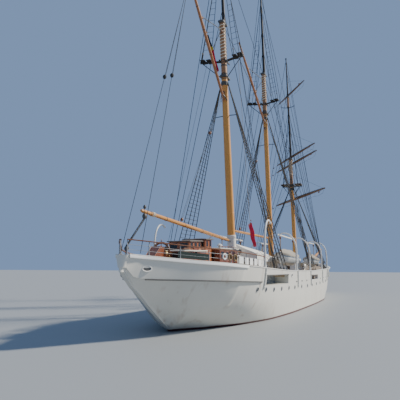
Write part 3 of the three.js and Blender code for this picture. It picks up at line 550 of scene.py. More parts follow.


# Fittings of the hull's side
# Iron-rimmed round lights in a row above the water, mooring pipes with oval rings, freeing slots along the
# waist with welded edges, and an anchor housed against each bow. The pipes' mouths and the slots are filled
# black, which is painted shade for the dark inside of each opening.
def tube(paths, radius, sides=8, closed=False, reference=None, tangent=None):
    """Round bars along paths (n, m, 3), with a circle of the radius at each point. Radii are one number, (m,)
    or (n, m). Open bars close in a pole at each end."""
    paths = np.asarray(paths, float)
    paths = paths[None] if paths.ndim == 2 else paths
    radius = np.broadcast_to(radius, paths.shape[:2])
    if tangent is None:
        tangent = np.roll(paths, -1, 1) - np.roll(paths, 1, 1) if closed else np.gradient(paths, axis=1)
    tangent = unit(np.broadcast_to(tangent, paths.shape))
    if reference is None:
        reference = np.eye(3)[np.abs(tangent).max(1).argmin(-1)]
    reference = np.broadcast_to(reference, (len(paths), 3))[:, None]
    across = unit(np.cross(reference, tangent))
    other = np.cross(tangent, across)
    angle = np.arange(sides) / sides * 2 * np.pi
    ring = across[:, :, None] * np.cos(angle)[:, None] + other[:, :, None] * np.sin(angle)[:, None]
    rings = paths[:, :, None] + ring * radius[..., None, None]
    if closed:
        return np.concatenate([rings, rings[:, :1]], 1), True, None
    return lofted(rings)


def listed(*points):
    """Points or rows of them as float arrays (n, 3) of one length."""
    return np.broadcast_arrays(*[np.atleast_2d(np.asarray(point, float)) for point in points])


def turned(start, end, profile, sides=16):
    """Bars turned in a lathe, from start to end (n, 3), on a profile of (part of the length, radius)."""
    start, end = listed(start, end)
    part, radius = np.array(profile, float).T
    way = (end - start)[:, None]
    return tube(start[:, None] + way * part[:, None], radius, sides, tangent=way)


def rod(start, end, radius, sides=8, lengths=1):
    """Plain round bars from start to end (n, 3), in so many equal lengths."""
    return turned(start, end, [(k / lengths, radius) for k in range(lengths + 1)], sides)


def hoops(centre, normal, radius, thick, turns=24, sides=8):
    """Round hoops: circles of the radius about centres (n, 3), square to their normals, each a round bar."""
    centre, normal = listed(centre, normal)
    normal = unit(normal)
    across = unit(np.cross(np.eye(3)[np.abs(normal).argmin(-1)], normal))
    other = np.cross(normal, across)
    angle = np.arange(turns) / turns * 2 * np.pi
    radius = np.broadcast_to(radius, len(centre))[:, None, None]
    circle = across[:, None] * np.cos(angle)[:, None] + other[:, None] * np.sin(angle)[:, None]
    return tube(centre[:, None] + circle * radius, thick, sides, closed=True, reference=normal)


def blocks(low, high, chamfer=0.012):
    """Boxes between corners (n, 3), every edge cut at 45 degrees by the chamfer."""
    low, high = listed(low, high)
    low, high = np.minimum(low, high), np.maximum(low, high)
    # Part of the way from low to high, then the step inwards, for x and y of the eight columns.
    full = np.array([[0, 1, 0, 0], [1, -1, 0, 0], [1, 0, 0, 1], [1, 0, 1, -1], [1, -1, 1, 0], [0, 1, 1, 0],
                     [0, 0, 1, -1], [0, 0, 0, 1]], float)
    inset = full.copy()
    inset[:, 1], inset[:, 3] = 1 - 2 * full[:, 0], 1 - 2 * full[:, 2]
    pole = np.tile([0.5, 0, 0.5, 0], (8, 1))
    rows = [(pole, 0, 0), (inset, 0, 0), (full, 0, 1), (full, 1, -1), (inset, 1, 0), (pole, 1, 0)]
    part = np.array([[(c[0], c[2], up) for c in plan] for plan, up, _ in rows])
    step = np.array([[(c[1], c[3], way) for c in plan] for plan, _, way in rows])
    cut = np.minimum(chamfer, 0.3 * (high - low).min(-1))[:, None, None, None]
    low, size = low[:, None, None], (high - low)[:, None, None]
    return low + size * part + cut * step, True, None


def outward(x, z, step=0.1):
    """The plating's unit normals at frames x and heights z, pointing away from the ship."""
    here = edge(x, z)
    return unit(xyz((here - edge(x + step, z)) / step, 1, (here - edge(x, z + step)) / step))


black_iron = painted("black_iron", (0.035, 0.037, 0.042), fading=0.25, slot="rigging_wire")
dark_glass = painted("dark_glass", (0.012, 0.018, 0.024), streaks=0.0, fading=0.05, roughness=0.04, bump=0.02,
                     slot="rigging_wire")
grey_steel = painted("grey_steel", (0.26, 0.28, 0.30), streaks=0.35, fading=0.25, roughness=0.42,
                     slot="windlass_iron")

x = np.array([-21.9, -20, -17.9, -15.5, -12.8, -10.3, -6.9, -3.5, -0.4, 2.8, 5.8, 8.8, 11.6, 14.4, 17.2,
              19.8, 22.2])
z = np.interp(x, [-22, -18, -12, -3, 8, 22], [2.76, 2.62, 2.56, 2.48, 2.6, 3.0])
spot, normal = xyz(x, edge(x, z, 0), z), outward(x, z)
build("side_light_rims", both(hoops(spot + normal * 0.01, normal, 0.17, 0.035)), grey_steel)
pane = turned(spot - normal * 0.05, spot + normal * 0.012, [(0, 0.165), (1, 0.16)], 20)
build("side_light_glass", both(pane), dark_glass)

# Freeing slots: black blocks flush with the plating, painted shade for the openings, between white welded
# edges.
x = np.array([-9.4, -6.6, -3.8, 6.4, 9.2, 12.0, 14.8])
z = line("main", x) + 0.14
low = xyz(x, edge(x, z) - 0.022, z)
slot = blocks(low - [0.3, 0, 0.07], low + [0.3, 0.03, 0.07], 0.01)
slot_edges = [blocks(low + [-0.34, 0, up], low + [0.34, 0.045, up + 0.03]) for up in (-0.09, 0.07)]
build("freeing_slot_shade", both(slot), black_iron)
build("freeing_slot_edges", both(*slot_edges), white_paint)

# Mooring pipes: oval rings upright against the plating, round black discs that are painted shade for the
# pipe's inside.
x, z = np.array([-32.0, -11.6, 17.9, 25.5]), np.array([4.3, 3.75, 4.15, 4.75])
spot = xyz(x, edge(x, z), z)[:, None]
normal = unit(outward(x, z, 0.15) * [1, 1, 0])
angle = (np.arange(28) / 28 * 2 * np.pi)[:, None]
along_side = unit(np.cross([0, 0, 1], normal))[:, None]
oval = along_side * 0.3 * np.cos(angle) + np.array([0, 0, 0.17]) * np.sin(angle)
pipe = tube(spot + oval, 0.045, closed=True, reference=normal)
mouth = np.stack([spot + normal[:, None] * deep + oval * 0.95 for deep in (-0.04, 0.012)], 1)
build("mooring_pipes", both(pipe), white_paint)
build("mooring_pipe_mouth_shade", both(lofted(mouth)), black_iron)

x, z = 28.6, 3.9
away = unit(xyz((edge(x, z) - edge(x + 0.2, z)) / 0.2, 1, -0.25))
along_side = -unit(np.cross([0, 0, 1], away))
up = np.cross(along_side, away)
spot = xyz(x, edge(x, z), z) + away * 0.12
crown = spot - up * 0.95
anchor = [turned(spot + up * 0.3, crown, [(0, 0.09), (0.05, 0.11), (1, 0.12)], 12),
          turned(crown - along_side * 0.45, crown + along_side * 0.45, [(0, 0.1), (0.5, 0.17), (1, 0.1)], 12),
          hoops(spot + up * 0.28, away, 0.26, 0.07)]
for way in (-along_side, along_side):
    root = crown + way * 0.36
    anchor.append(turned(root, root + up * 0.8 + way * 0.2, [(0, 0.11), (0.6, 0.13), (0.97, 0.02)], 8))
build("anchors", both(*anchor), black_iron)


# Poop rail
# Round iron stanchions on the white cap carry a broad varnished teak handrail and two wires. Abreast of the
# mizzen white boards are lashed between the stanchions.
teak_varnish = wooden("teak_varnish", (0.22, 0.085, 0.035), (0.09, 0.03, 0.015), wear=0.15, roughness=0.3,
                      slot="teak")
wire_rope = painted("wire_rope", (0.045, 0.047, 0.052), streaks=0.2, fading=0.3, roughness=0.5,
                    slot="rigging_wire")
RAIL_HEIGHT, RAIL_INSET = 0.92, 0.06


def slab(foot, height, half):
    """Upright slabs on foot lines (..., 2, 3), with half their thickness to each side."""
    ring = np.concatenate([foot, foot[..., ::-1, :] + [0, 0, height]], -2)
    return lofted(np.stack([ring + [0, half, 0], ring - [0, half, 0]], -3))


feet = np.concatenate([[[STERN + 0.07, 0.25, line("rail", STERN + 0.07) + 0.06]],
                       on_rail(np.arange(-32, -20.9, 1.84), RAIL_INSET, 0.06)])
x = np.linspace(feet[0, 0], feet[-1, 0] + 0.12, 50)
path = xyz(x, np.interp(x, feet[:, 0], feet[:, 1]), line("rail", x))
cap = moulding(path + [0, 0, RAIL_HEIGHT], rounded(0.15, 0.07))
pair("poop_handrail", [cap], teak_varnish, "poop_rail")
posts = [turned(feet, feet + [0, 0, RAIL_HEIGHT - 0.1], [
    (0, 0.06), (0.03, 0.06), (0.06, 0.032), (0.62, 0.03), (0.65, 0.045), (0.68, 0.045), (0.71, 0.028),
    (1, 0.026)], 10)]
wires = [tube(path + [0, 0, height], 0.014, 6) for height in (0.32, 0.62)]
pair("poop_stanchions", posts + wires, grey_steel)
board_x = np.arange(-25.6, -21.4, 0.78)[:, None] + [0, 0.52]
boards = slab(on_rail(board_x, RAIL_INSET, 0.12), 0.48, 0.015)
build("rail_boards", both(boards), strip_paint)

# A lifebuoy, two coiled hawsers and a dark green dodger hang on the rail of each quarter.
manila = wooden("manila", (0.42, 0.30, 0.16), (0.22, 0.14, 0.07), stretch=(1, 1, 1), grain=0.9, roughness=0.9,
                bump=0.8, slot="boat_canvas")
dodger_green = painted("dodger_green", (0.012, 0.03, 0.027), streaks=0.1, fading=0.06, roughness=0.8,
                       slot="boat_canvas")
buoy, *hung = on_rail(np.array([-27.2, -26.72, -26.2]), RAIL_INSET - 0.09, 0.46)
facing = unit(np.array([-0.45, 1.0, 0]))
build("lifebuoys", both(hoops(buoy, facing, 0.17, 0.055, 32, 10)), strip_paint)
build("lifebuoy_lines", both(hoops(buoy + facing * 0.01, facing, 0.24, 0.01, 32)), wire_rope)
hawsers = []
for place in hung:
    for layer in range(5):
        ring, *rest = hoops(0 * place, facing, 0.13 + 0.02 * (layer % 3), 0.024, 22, 6)
        hawsers.append((ring * [1, 1, 1.35] + place + facing * 0.03 * (layer - 2), *rest))
build("rail_hawsers", both(*hawsers), manila)
dodger = slab(on_rail(np.array([-30.3, -28.3]), RAIL_INSET, 0.12), 0.4, 0.012)
build("rail_dodgers", both(dodger), dodger_green)

# Each recess in the poop's side is lined with four locker doors under a black lintel bar, both painted shade:
# the doors' dark blue-grey stands for the shade inside the recess, the bar for the shadow under the lintel.
recess_shade_grey = painted("recess_shade_grey", (0.20, 0.23, 0.26), fading=0.2, roughness=0.5, slot="windlass_iron")
(aft, fore), (sill_z, lintel_z) = SIDE_DOOR["x"], SIDE_DOOR["z"]
back_y = edge(aft, sill_z) - SIDE_DOOR["depth"]
x = np.linspace(aft, fore, 30)
lintel = moulding(xyz(x, edge(x, lintel_z + 0.03) + 0.01, lintel_z + 0.03), rounded(0.08, 0.09))
ends = np.linspace(aft + 0.04, fore - 0.04, 5)
doors = blocks(xyz(ends[:-1] + 0.02, back_y - 0.02, sill_z + 0.05),
               xyz(ends[1:] - 0.02, back_y + 0.05, lintel_z - 0.05), 0.01)
hinge = xyz(ends[:-1, None] + 0.25, back_y + 0.06, [3.25, 3.55]).reshape(-1, 3)
build("recess_doors_painted_shade", both(doors), recess_shade_grey)
# The black lintel bar is a painted shadow. The hinges on the doors are plain iron.
build("recess_lintel_shadow_and_hinges", both(lintel, rod(hinge - [0.16, 0, 0], hinge + [0.16, 0, 0], 0.02)), black_iron)

# A black moulding closes the lower edge and the forward end of the doubled band. It is partly the band's dark
# edge and partly painted shade, standing in for the shadow under the band.
x = np.linspace(STERN + 1.3, BAND_END, 40)
z = line("knuckle", x)
lower = moulding(xyz(x, edge(x, z) - 0.03, z - 0.03), rounded(0.1, 0.07))
x = BAND_END + 0.03
z = np.linspace(line("knuckle", BAND_END), line("rail", BAND_END) - 0.12, 12)
build("band_edge_and_shadow_moulding", both(lower, tube(xyz(x, edge(x, z) + 0.02, z), 0.04)), black_iron)


# Deckhouses
# Two varnished mahogany houses stand on the poop and two white steel ones on the main deck. Panelled walls
# carry framed windows and doors, and each roof overhangs with a rounded edge, a handrail and its fittings.
mahogany = wooden("mahogany", (0.24, 0.075, 0.03), (0.10, 0.028, 0.014), stretch=(0.06, 1, 1), wear=0.1,
                  roughness=0.22, Coat_Weight=0.4)
roof_canvas = painted("roof_canvas", (0.66, 0.64, 0.56), fading=0.4, roughness=0.7, bump=0.4,
                      slot="white_paint")


def plan_ring(aft, fore, half, z_aft, z_fore, corner=0.06):
    """A rounded rectangle seen from above, its height running straight from the after to the forward end."""
    angle = np.radians([0, 30, 60, 90])
    points = []
    for quarter, x, y in ((0, fore, half), (1, aft, half), (2, aft, -half), (3, fore, -half)):
        a = angle + quarter * np.pi / 2
        inset = np.array([x - corner * np.sign(x - (aft + fore) / 2), y - corner * np.sign(y)])
        points.append(inset + corner * np.stack([np.cos(a), np.sin(a)], -1))
    x, y = np.concatenate(points).T
    return xyz(x, y, z_aft + (z_fore - z_aft) * (x - aft) / (fore - aft))


def windows(panes, frames, centre, facing, width, height, border=0.06, proud=0.03):
    """Adds a thin pane and four bars about each centre (n, 3) on walls that face along one axis."""
    centre, facing = listed(centre, facing)
    across, up = np.abs(np.cross([0, 0, 1], facing)), np.array([0, 0, 1.0])
    span = across * width / 2 + up * height / 2
    panes.append(blocks(centre - span - facing * 0.02, centre + span + facing * 0.012, 0.004))
    for way, other, reach, length in ((across, up, width, height), (up, across, height, width)):
        for middle in (centre - way * (reach + border) / 2, centre + way * (reach + border) / 2):
            size = way * border / 2 + other * (length / 2 + border)
            frames.append(blocks(middle - size - facing * 0.02, middle + size + facing * proud))


ASTERN, AHEAD, PORT = (-1, 0, 0), (1, 0, 0), (0, 1, 0)
# Columns: name, aft and forward end, half width, roof height at each end, overhang, windows along a side,
# across the after end, across the forward end, height of the windows' middle above the deck, their size.
HOUSES = [
    ("after_house", -27.6, -23.6, 1.25, 5.6, 5.75, 0.1, 3, 2, 2, 0.95, (0.62, 0.42)),
    ("chart_house", -21.4, -16.9, 1.5, 6.05, 6.15, 0.12, 4, 2, 3, 1.35, (0.6, 0.5)),
    ("midship_house", -10.6, -3.2, 1.9, 5.15, 5.15, 0.1, 5, 2, 2, 1.5, (0.5, 0.42)),
    ("fore_house", 6.2, 13.4, 2.0, 5.3, 5.35, 0.1, 5, 2, 2, 1.55, (0.5, 0.42)),
]
panes, doors = [], {True: [], False: []}
for name, aft, fore, half, high_aft, high_fore, over, along, back, front, rise, (wide, tall) in HOUSES:
    wood_house = high_aft > 5.5
    finish, roof_finish, rail_finish = (
        (mahogany, roof_canvas, teak_varnish) if wood_house else (white_paint, white_paint, white_paint))
    deck_aft, deck_fore = deck_height(np.array([aft, fore]))
    body = [lofted(np.stack([plan_ring(aft, fore, half, deck_aft - 0.03, deck_fore - 0.03),
                             plan_ring(aft, fore, half, high_aft - 0.05, high_fore - 0.05)])),
            lofted(np.stack([plan_ring(aft - 0.03, fore + 0.03, half + 0.03, deck_aft + up, deck_fore + up)
                             for up in (-0.03, 0.11)]))]
    roof = [plan_ring(aft - reach, fore + reach, half + reach, high_aft - down, high_fore - down, corner)
            for reach, down, corner in ((over - 0.05, 0.1, 0.12), (over, 0.085, 0.12), (over, 0.03, 0.12),
                                        (over - 0.03, 0.005, 0.12), (over - 0.5 * half, -0.03, 0.3))]
    build(f"{name}_roof", [lofted(np.stack(roof))], roof_finish)

    # One side's windows, its door with a light of its own, and the panels and stiles of the wooden walls.
    side_panes, side_frames, leaf = [], [], []
    x = aft + (fore - aft) / along * (np.arange(along) + 0.5)
    centre = xyz(x, half, deck_height(x) + rise)
    door = xyz(x[along // 2], half, deck_height(x[along // 2]) + 0.88)
    beside = np.arange(along) != along // 2
    windows(side_panes, side_frames, centre[beside], PORT, wide, tall)
    windows(leaf, side_frames, door, PORT, 0.72, 1.5, 0.07, 0.04)
    windows(side_panes, side_frames, door + [0, 0, 0.36], PORT, 0.34, 0.34, 0.04, 0.035)
    if wood_house:
        panels = centre[beside] - [0, 0, rise * 0.5 + 0.12]
        windows([], side_frames, panels, PORT, wide, rise * 0.42, 0.04, 0.018)
        x = aft + (fore - aft) / along * np.arange(1, along)
        z = np.interp(x, [aft, fore], [high_aft, high_fore]) - 0.1
        side_frames.append(blocks(xyz(x - 0.05, half - 0.02, deck_height(x)), xyz(x + 0.05, half + 0.025, z)))
    doors[wood_house] += both(*leaf)
    panes += both(*side_panes)
    body += both(*side_frames)
    for count, x, way, deck in ((back, aft, ASTERN, deck_aft), (front, fore, AHEAD, deck_fore)):
        y = (np.arange(count) - (count - 1) / 2) * (2 * half / count)
        windows(panes, body, xyz(x, y, deck + rise), way, wide * 0.9, tall)
    build(f"{name}_walls", body, finish, stands_for=name)

    # A handrail on short stanchions runs along both edges of the roof.
    x = np.linspace(aft + 0.2, fore - 0.2, 7)
    foot = xyz(x, half - 0.1, np.interp(x, [aft, fore], [high_aft, high_fore]))
    post = turned(foot - [0, 0, 0.02], foot + [0, 0, 0.12], [(0, 0.03), (0.2, 0.02), (1, 0.02)], 8)
    build(f"{name}_grab_rails", both(post, tube(foot + [0, 0, 0.13], 0.026)), rail_finish)
build("house_windows", panes, dark_glass)
build("wooden_doors", doors[True], mahogany)
build("steel_doors", doors[False], white_paint)

# The after house carries a glazed upper part. Ahead of it a companion with a sliding hatch leads below. Both
# are lighter teak than the walls, under dark painted canvas. A mushroom vent stands ahead of them.
companion_teak = wooden("companion_teak", (0.42, 0.15, 0.06), (0.22, 0.07, 0.03), stretch=(0.06, 1, 1),
                        wear=0.1,
                        roughness=0.25, Coat_Weight=0.3, slot="mahogany")
roof_brown = painted("roof_brown", (0.07, 0.045, 0.035), streaks=0.2, fading=0.3, roughness=0.5,
                     slot="mahogany")
walls, panes, roofs = [], [], []
for aft, fore, half, low, high_aft, high_fore, along, tall in (
        (-25.9, -23.75, 0.86, 5.5, 6.3, 6.44, 3, 0.4), (-23.15, -21.85, 0.95, 4.1, 6.62, 6.68, 2, 0.46)):
    walls.append(lofted(np.stack([plan_ring(aft, fore, half, low, low),
                                  plan_ring(aft, fore, half, high_aft, high_fore)])))
    roofs.append(lofted(np.stack([
        plan_ring(aft - reach, fore + reach, half + reach, high_aft + up, high_fore + up)
        for reach, up in ((0.1, -0.02), (0.14, 0.0), (0.13, 0.05), (0.05, 0.075), (-0.6 * half, 0.1))])))
    side_panes, side_frames = [], []
    step = (fore - aft) / along
    x = aft + step * (np.arange(along) + 0.5)
    z = np.interp(x, [aft, fore], [high_aft, high_fore]) - 0.1 - tall / 2
    windows(side_panes, side_frames, xyz(x, half, z), PORT, step - 0.3, tall)
    panes += both(*side_panes)
    walls += both(*side_frames)
    for x, way, high in ((aft, ASTERN, high_aft), (fore, AHEAD, high_fore)):
        windows(panes, walls, xyz(x, [-half / 2, half / 2], high - 0.1 - tall / 2), way, half * 0.7, tall)
build("upper_house_walls", walls, companion_teak)
build("upper_house_windows", panes, dark_glass)
build("upper_house_roofs", roofs, roof_brown)
mushroom = turned((-20.7, 1.2, 6.0), (-20.7, 1.2, 6.42), [
    (0, 0.14), (0.1, 0.1), (0.5, 0.1), (0.52, 0.24), (0.75, 0.22), (0.93, 0.12), (1, 0.03)], 20)
build("mushroom_vents", both(mushroom), white_paint)

# Skylights with brass guards stand on the steel houses' roofs, ventilator cowls about the decks, and
# liferaft drums on cradles beside the skylights.
brass = painted("brass", (0.50, 0.36, 0.14), streaks=0.4, roughness=0.3, stain=(0.10, 0.16, 0.10, 1),
                Metallic=0.9,
                slot="propeller_bronze")
skylights, guards = [], []
for x, z in ((-7.0, 5.12), (9.0, 5.28)):
    ridge = ((-0.5, z), (0.5, z), (0.5, z + 0.25), (0, z + 0.5), (-0.5, z + 0.25))
    skylights.append(lofted(np.stack([[(at, *corner) for corner in ridge] for at in (x - 0.75, x + 0.75)])))
    bar_x = np.arange(x - 0.67, x + 0.75, 0.12)
    guards.append(rod(xyz(bar_x, 0.47, z + 0.3), xyz(bar_x, 0.04, z + 0.52), 0.012, 6))
build("skylights", skylights, mahogany)
build("skylight_guards", both(*guards), brass)

cowls, throats = [], []
for x, y, foot, high, size in ((-11.7, 1.2, 3.0, 1.7, 0.26), (-2.2, 1.1, 2.95, 1.9, 0.3),
                               (14.9, 1.5, 3.15, 1.8, 0.28), (22.5, 1.3, 4.5, 1.2, 0.24)):
    bend = np.radians(np.linspace(0, 80, 7))
    neck = foot + high - size
    path = np.concatenate([[[x, y, foot], [x, y, neck]],
                           xyz(x + size * (1 - np.cos(bend)), y, neck + size * np.sin(bend))])
    mouth = path[-1] + [size * 0.9, 0, size * 0.15]
    width = size * np.concatenate([[0.62, 0.55], np.linspace(0.56, 0.95, 7), [1.15]])
    cowls += [tube(np.concatenate([path, [mouth]]), width, 16),
              hoops(mouth, (1, 0, 0.16), size * 1.12, 0.025)]
    throats.append(rod(mouth - [0.02, 0, 0], mouth + [0.012, 0, 0.002], size * 1.02, 16))
build("ventilators", both(*cowls), white_paint)
cowl_red = painted("cowl_red", (0.36, 0.035, 0.03), streaks=0.1, roughness=0.5, slot="flag_cloth")
build("ventilator_mouths", both(*throats), cowl_red)

middle = np.array([(-9.4, 1.25, 5.57), (-5.0, 1.25, 5.57), (7.6, 1.25, 5.75), (12.0, 1.25, 5.75)])
drums = turned(middle - [0.65, 0, 0], middle + [0.65, 0, 0], [
    (0, 0.2), (0.05, 0.29), (0.08, 0.3), (0.47, 0.3), (0.48, 0.32), (0.52, 0.32), (0.53, 0.3), (0.92, 0.3),
    (0.95, 0.29), (1, 0.2)], 20)
build("liferafts", both(drums), strip_paint)
cradles = []
for spot in (middle - [0.4, 0, 0], middle + [0.4, 0, 0]):
    cradles += [blocks(spot - [0.04, 0.3, 0.43], spot + [0.04, 0.3, -0.24]), hoops(spot, AHEAD, 0.31, 0.018)]
build("liferaft_cradles", both(*cradles), grey_steel)


# Steering gear
# A mahogany box with a sloping lid covers the screw gear on the rudder head. The wheel is mahogany too, with
# a rim of three layers, eight turned spokes with handles, and brass on the hub and rim.
hub = np.array([-28.6, 0, 5.45])
gear_foot, gear_aft, gear_fore = deck_height(hub[0]), hub[0] - 1.5, hub[0] - 0.105
corners = np.array([(gear_aft, gear_foot), (gear_fore, gear_foot), (gear_fore, 5.7), (hub[0] - 0.7, 5.8),
                    (gear_aft, 5.1)])
middle = corners.mean(0)
faces = []
for y, size in ((0.35, 0.97), (0.33, 1.0), (-0.33, 1.0), (-0.35, 0.97)):
    x, z = (middle + (corners - middle) * size).T
    faces.append(xyz(x, y, z))
x, z = corners.T
trim = rod(xyz(x, 0.34, z), xyz(np.roll(x, -1), 0.34, np.roll(z, -1)), 0.022)
build("steering_gear_case", [lofted(np.stack(faces)), *both(trim)], mahogany,
      stands_for="steering_gear_box")

angle = np.arange(8) / 8 * 2 * np.pi
rim = [hoops(hub, AHEAD, radius, thick, 48) for radius, thick in ((0.62, 0.045), (0.57, 0.03), (0.67, 0.03))]
spokes = turned(hub, hub + xyz(0, np.sin(angle), np.cos(angle)) * 0.86, [
    (0, 0.03), (0.2, 0.03), (0.24, 0.02), (0.45, 0.034), (0.62, 0.022), (0.65, 0.03), (0.79, 0.03),
    (0.81, 0.016), (0.84, 0.024), (0.93, 0.03), (0.98, 0.022), (1, 0.008)], 10)
boss = turned(hub - [0.1, 0, 0], hub + [0.1, 0, 0], [(0, 0.12), (0.1, 0.14), (0.9, 0.14), (1, 0.12)], 20)
build("helm_wheel", [*rim, spokes, boss], mahogany, "wheel", "steering_wheel")
cap = turned(hub - [0.103, 0, 0], hub + [0.13, 0, 0], [(0, 0.07), (0.9, 0.07), (0.95, 0.05), (1, 0.02)])
bands = hoops(hub + [[0.035, 0, 0], [-0.035, 0, 0]], AHEAD, 0.62, 0.016, 48)
build("helm_wheel_brass", [cap, bands], brass, "wheel")

# A binnacle with its brass hood and compensating balls stands ahead of the wheel.
stand = xyz(-28.0, 0, deck_height(-28.0))
build("binnacle", [turned(stand, stand + [0, 0, 1.0], [
    (0, 0.22), (0.08, 0.22), (0.1, 0.16), (0.8, 0.15), (0.85, 0.2), (1, 0.2)], 8)], mahogany)
ball = turned(stand + [0, 0.3, 0.78], stand + [0, 0.3, 0.96], [
    (0, 0.02), (0.15, 0.07), (0.5, 0.09), (0.85, 0.07), (1, 0.02)], 12)
hood = turned(stand + [0, 0, 1.0], stand + [0, 0, 1.32], [(0, 0.2), (0.3, 0.2), (0.6, 0.16), (0.85, 0.08),
                                                        (1, 0.02)], 20)
arm = rod(stand + [0, -0.3, 0.87], stand + [0, 0.3, 0.87], 0.02)
build("binnacle_hood", [hood, arm, *both(ball)], brass)


# Deck gear
# The main hatch is closed with boards under a tarpaulin that battens hold to its teak coaming. Bollards,
# the anchor windlass and a capstan stand about the decks.
tarpaulin = painted("tarpaulin", (0.16, 0.19, 0.15), streaks=0.1, fading=0.5, roughness=0.75, bump=0.5,
                    slot="boat_canvas")


def border(grid):
    """The points round the edge of a grid, in turn."""
    return np.concatenate([grid[:-1, 0], grid[-1, :-1], grid[:0:-1, -1], grid[0, :0:-1]])


x, y = np.meshgrid(np.linspace(2.9, 5.7, 25), np.linspace(-1.2, 1.2, 23), indexing="ij")
fall = np.exp(-np.minimum(1.4 - np.abs(x - 4.3), 1.2 - np.abs(y)) / 0.06)
lid, under = xyz(x, y, 3.62 - 0.14 * fall + 0.006 * np.sin(y * 16) * (1 - fall)), xyz(x, y, 3.45)
skirt = np.stack([border(under), border(lid)])
build("hatch_tarpaulin", [lid.transpose(1, 0, 2), under, (skirt, True, None)], tarpaulin)
coaming = blocks((3.0, -1.1, 2.9), (5.6, 1.1, 3.55), 0.03)
battens = blocks([(2.97, -1.13, 3.36), (2.97, 1.1, 3.36), (2.97, -1.13, 3.36), (5.6, -1.13, 3.36)],
                 [(5.63, -1.1, 3.42), (5.63, 1.13, 3.42), (3.0, 1.13, 3.42), (5.63, 1.13, 3.42)], 0.01)
build("hatch_coaming", [coaming, battens], teak_varnish, stands_for="main_hatch")

x, y = np.array([(-31.0, 1.0), (-22.9, 4.45), (-13.6, 4.6), (-11.6, 4.5), (5.0, 4.5), (17.4, 4.2),
                 (21.0, 3.7), (29.4, 1.35)]).T
spot = xyz(x, y, deck_height(x))
bollards = [blocks(spot - [0.42, 0.14, 0.02], spot + [0.42, 0.14, 0.05], 0.02)]
for foot in (spot - [0.25, 0, 0], spot + [0.25, 0, 0]):
    bollards.append(turned(foot, foot + [0, 0, 0.46], [
        (0, 0.1), (0.78, 0.1), (0.84, 0.14), (0.96, 0.14), (1, 0.1)], 14))
build("bollards", both(*bollards), black_iron)

drum = [(0, 0.17), (0.03, 0.3), (0.07, 0.3), (0.1, 0.19), (0.16, 0.2), (0.2, 0.24), (0.26, 0.24),
        (0.27, 0.33), (0.31, 0.33), (0.32, 0.2), (0.38, 0.2), (0.39, 0.31), (0.42, 0.31), (0.43, 0.17)]
barrel = turned((26.9, -1.15, 5.3), (26.9, 1.15, 5.3), drum + [(1 - at, r) for at, r in drum[::-1]], 20)
cheek = [blocks((26.2, 0.65, 4.75), (27.6, 0.9, 5.15), 0.05),
         blocks((26.55, 0.66, 5.0), (27.25, 0.89, 5.5), 0.08), hoops((27.2, 0.5, 5.15), PORT, 0.2, 0.02)]
build("anchor_windlass", [barrel, *both(*cheek)], grey_steel, stands_for="windlass")
foot = xyz(23.8, 0, deck_height(23.8))
build("capstan", [hoops(foot + [0, 0, 0.86], (0, 0, 1), 0.36, 0.02), turned(foot, foot + [0, 0, 1.0], [
    (0, 0.4), (0.06, 0.4), (0.1, 0.3), (0.2, 0.26), (0.5, 0.22), (0.7, 0.27), (0.76, 0.36), (0.95, 0.36),
    (1, 0.3)], 24)], grey_steel)


# Masts
# Three steel lower masts in buff paint rake aft. Above the hounds their heads are light pine with a rope
# wound round, and black topmasts stand ahead of them in two iron caps.
MASTS = {
    "mizzen": {"x": -14.3, "z": 6.0, "rake": 0.11, "ahead": 0.52, "hounds": 22.8,
               "lower": [(7.62, 0.39), (22.8, 0.31), (23.2, 0.29), (29.3, 0.24)],
               "top": [(23.3, 0.17), (29.6, 0.17), (39.2, 0.09)],
               "caps": [(23.5, 0.34), (29.1, 0.3)], "tree": (25.05, 2.27, 1.7, -0.62)},
    "main": {"x": 0.75, "z": 6.3, "rake": 0.092, "ahead": 0.48, "hounds": 24.2,
             "lower": [(2.4, 0.35), (24.6, 0.28), (30.4, 0.23)],
             "top": [(24.7, 0.18), (31.0, 0.18), (43.0, 0.09)],
             "caps": [(24.9, 0.34), (30.2, 0.3)], "tree": (26.1, 2.08, 1.5, -0.75)},
    "fore": {"x": 15.9, "z": 6.0, "rake": 0.098, "ahead": 0.46, "hounds": 17.3,
             "lower": [(2.4, 0.33), (17.4, 0.29), (22.4, 0.24)],
             "top": [(17.6, 0.19), (30.2, 0.15), (33.0, 0.13), (39.4, 0.08)],
             "caps": [(17.75, 0.34), (22.2, 0.3)]},
}
mast_buff = painted("mast_buff", (0.70, 0.32, 0.06), fading=0.08, roughness=0.3)
pine = wooden("pine", (0.42, 0.21, 0.09), (0.22, 0.10, 0.04), stretch=(1, 1, 0.04), wear=0.15,
              slot="mast_buff")
black_mast = painted("black_mast", (0.006, 0.007, 0.011), streaks=0.2, fading=0.1, roughness=0.5,
                     slot="topmast_black")
pale_rope = wooden("pale_rope", (0.80, 0.74, 0.60), (0.55, 0.48, 0.36), stretch=(1, 1, 1), grain=0.8,
                   roughness=0.8, bump=0.6, slot="boat_canvas")


def mast_point(mast, z, ahead=0.0):
    """The middle of a raked mast at the heights z, or a distance ahead of it."""
    z = np.asarray(z, float)
    return xyz(MASTS[mast]["x"] - MASTS[mast]["rake"] * (z - MASTS[mast]["z"]) + ahead, 0, z)


def mast_radius(mast, z, part="lower"):
    """The radius of one part of a mast at the heights z."""
    return np.interp(z, *np.array(MASTS[mast][part]).T)


def mast_tube(mast, z, part="lower", ahead=0.0, sides=28):
    """One part of a mast as a round bar through the heights z."""
    return tube(mast_point(mast, z, ahead), mast_radius(mast, z, part), sides)


def mast_bands(mast, z, part="lower", ahead=0.0, thick=0.025):
    """Iron hoops round one part of a mast at the heights z."""
    way = mast_point(mast, 1.0) - mast_point(mast, 0.0)
    return hoops(mast_point(mast, z, ahead), way, mast_radius(mast, z, part), thick)


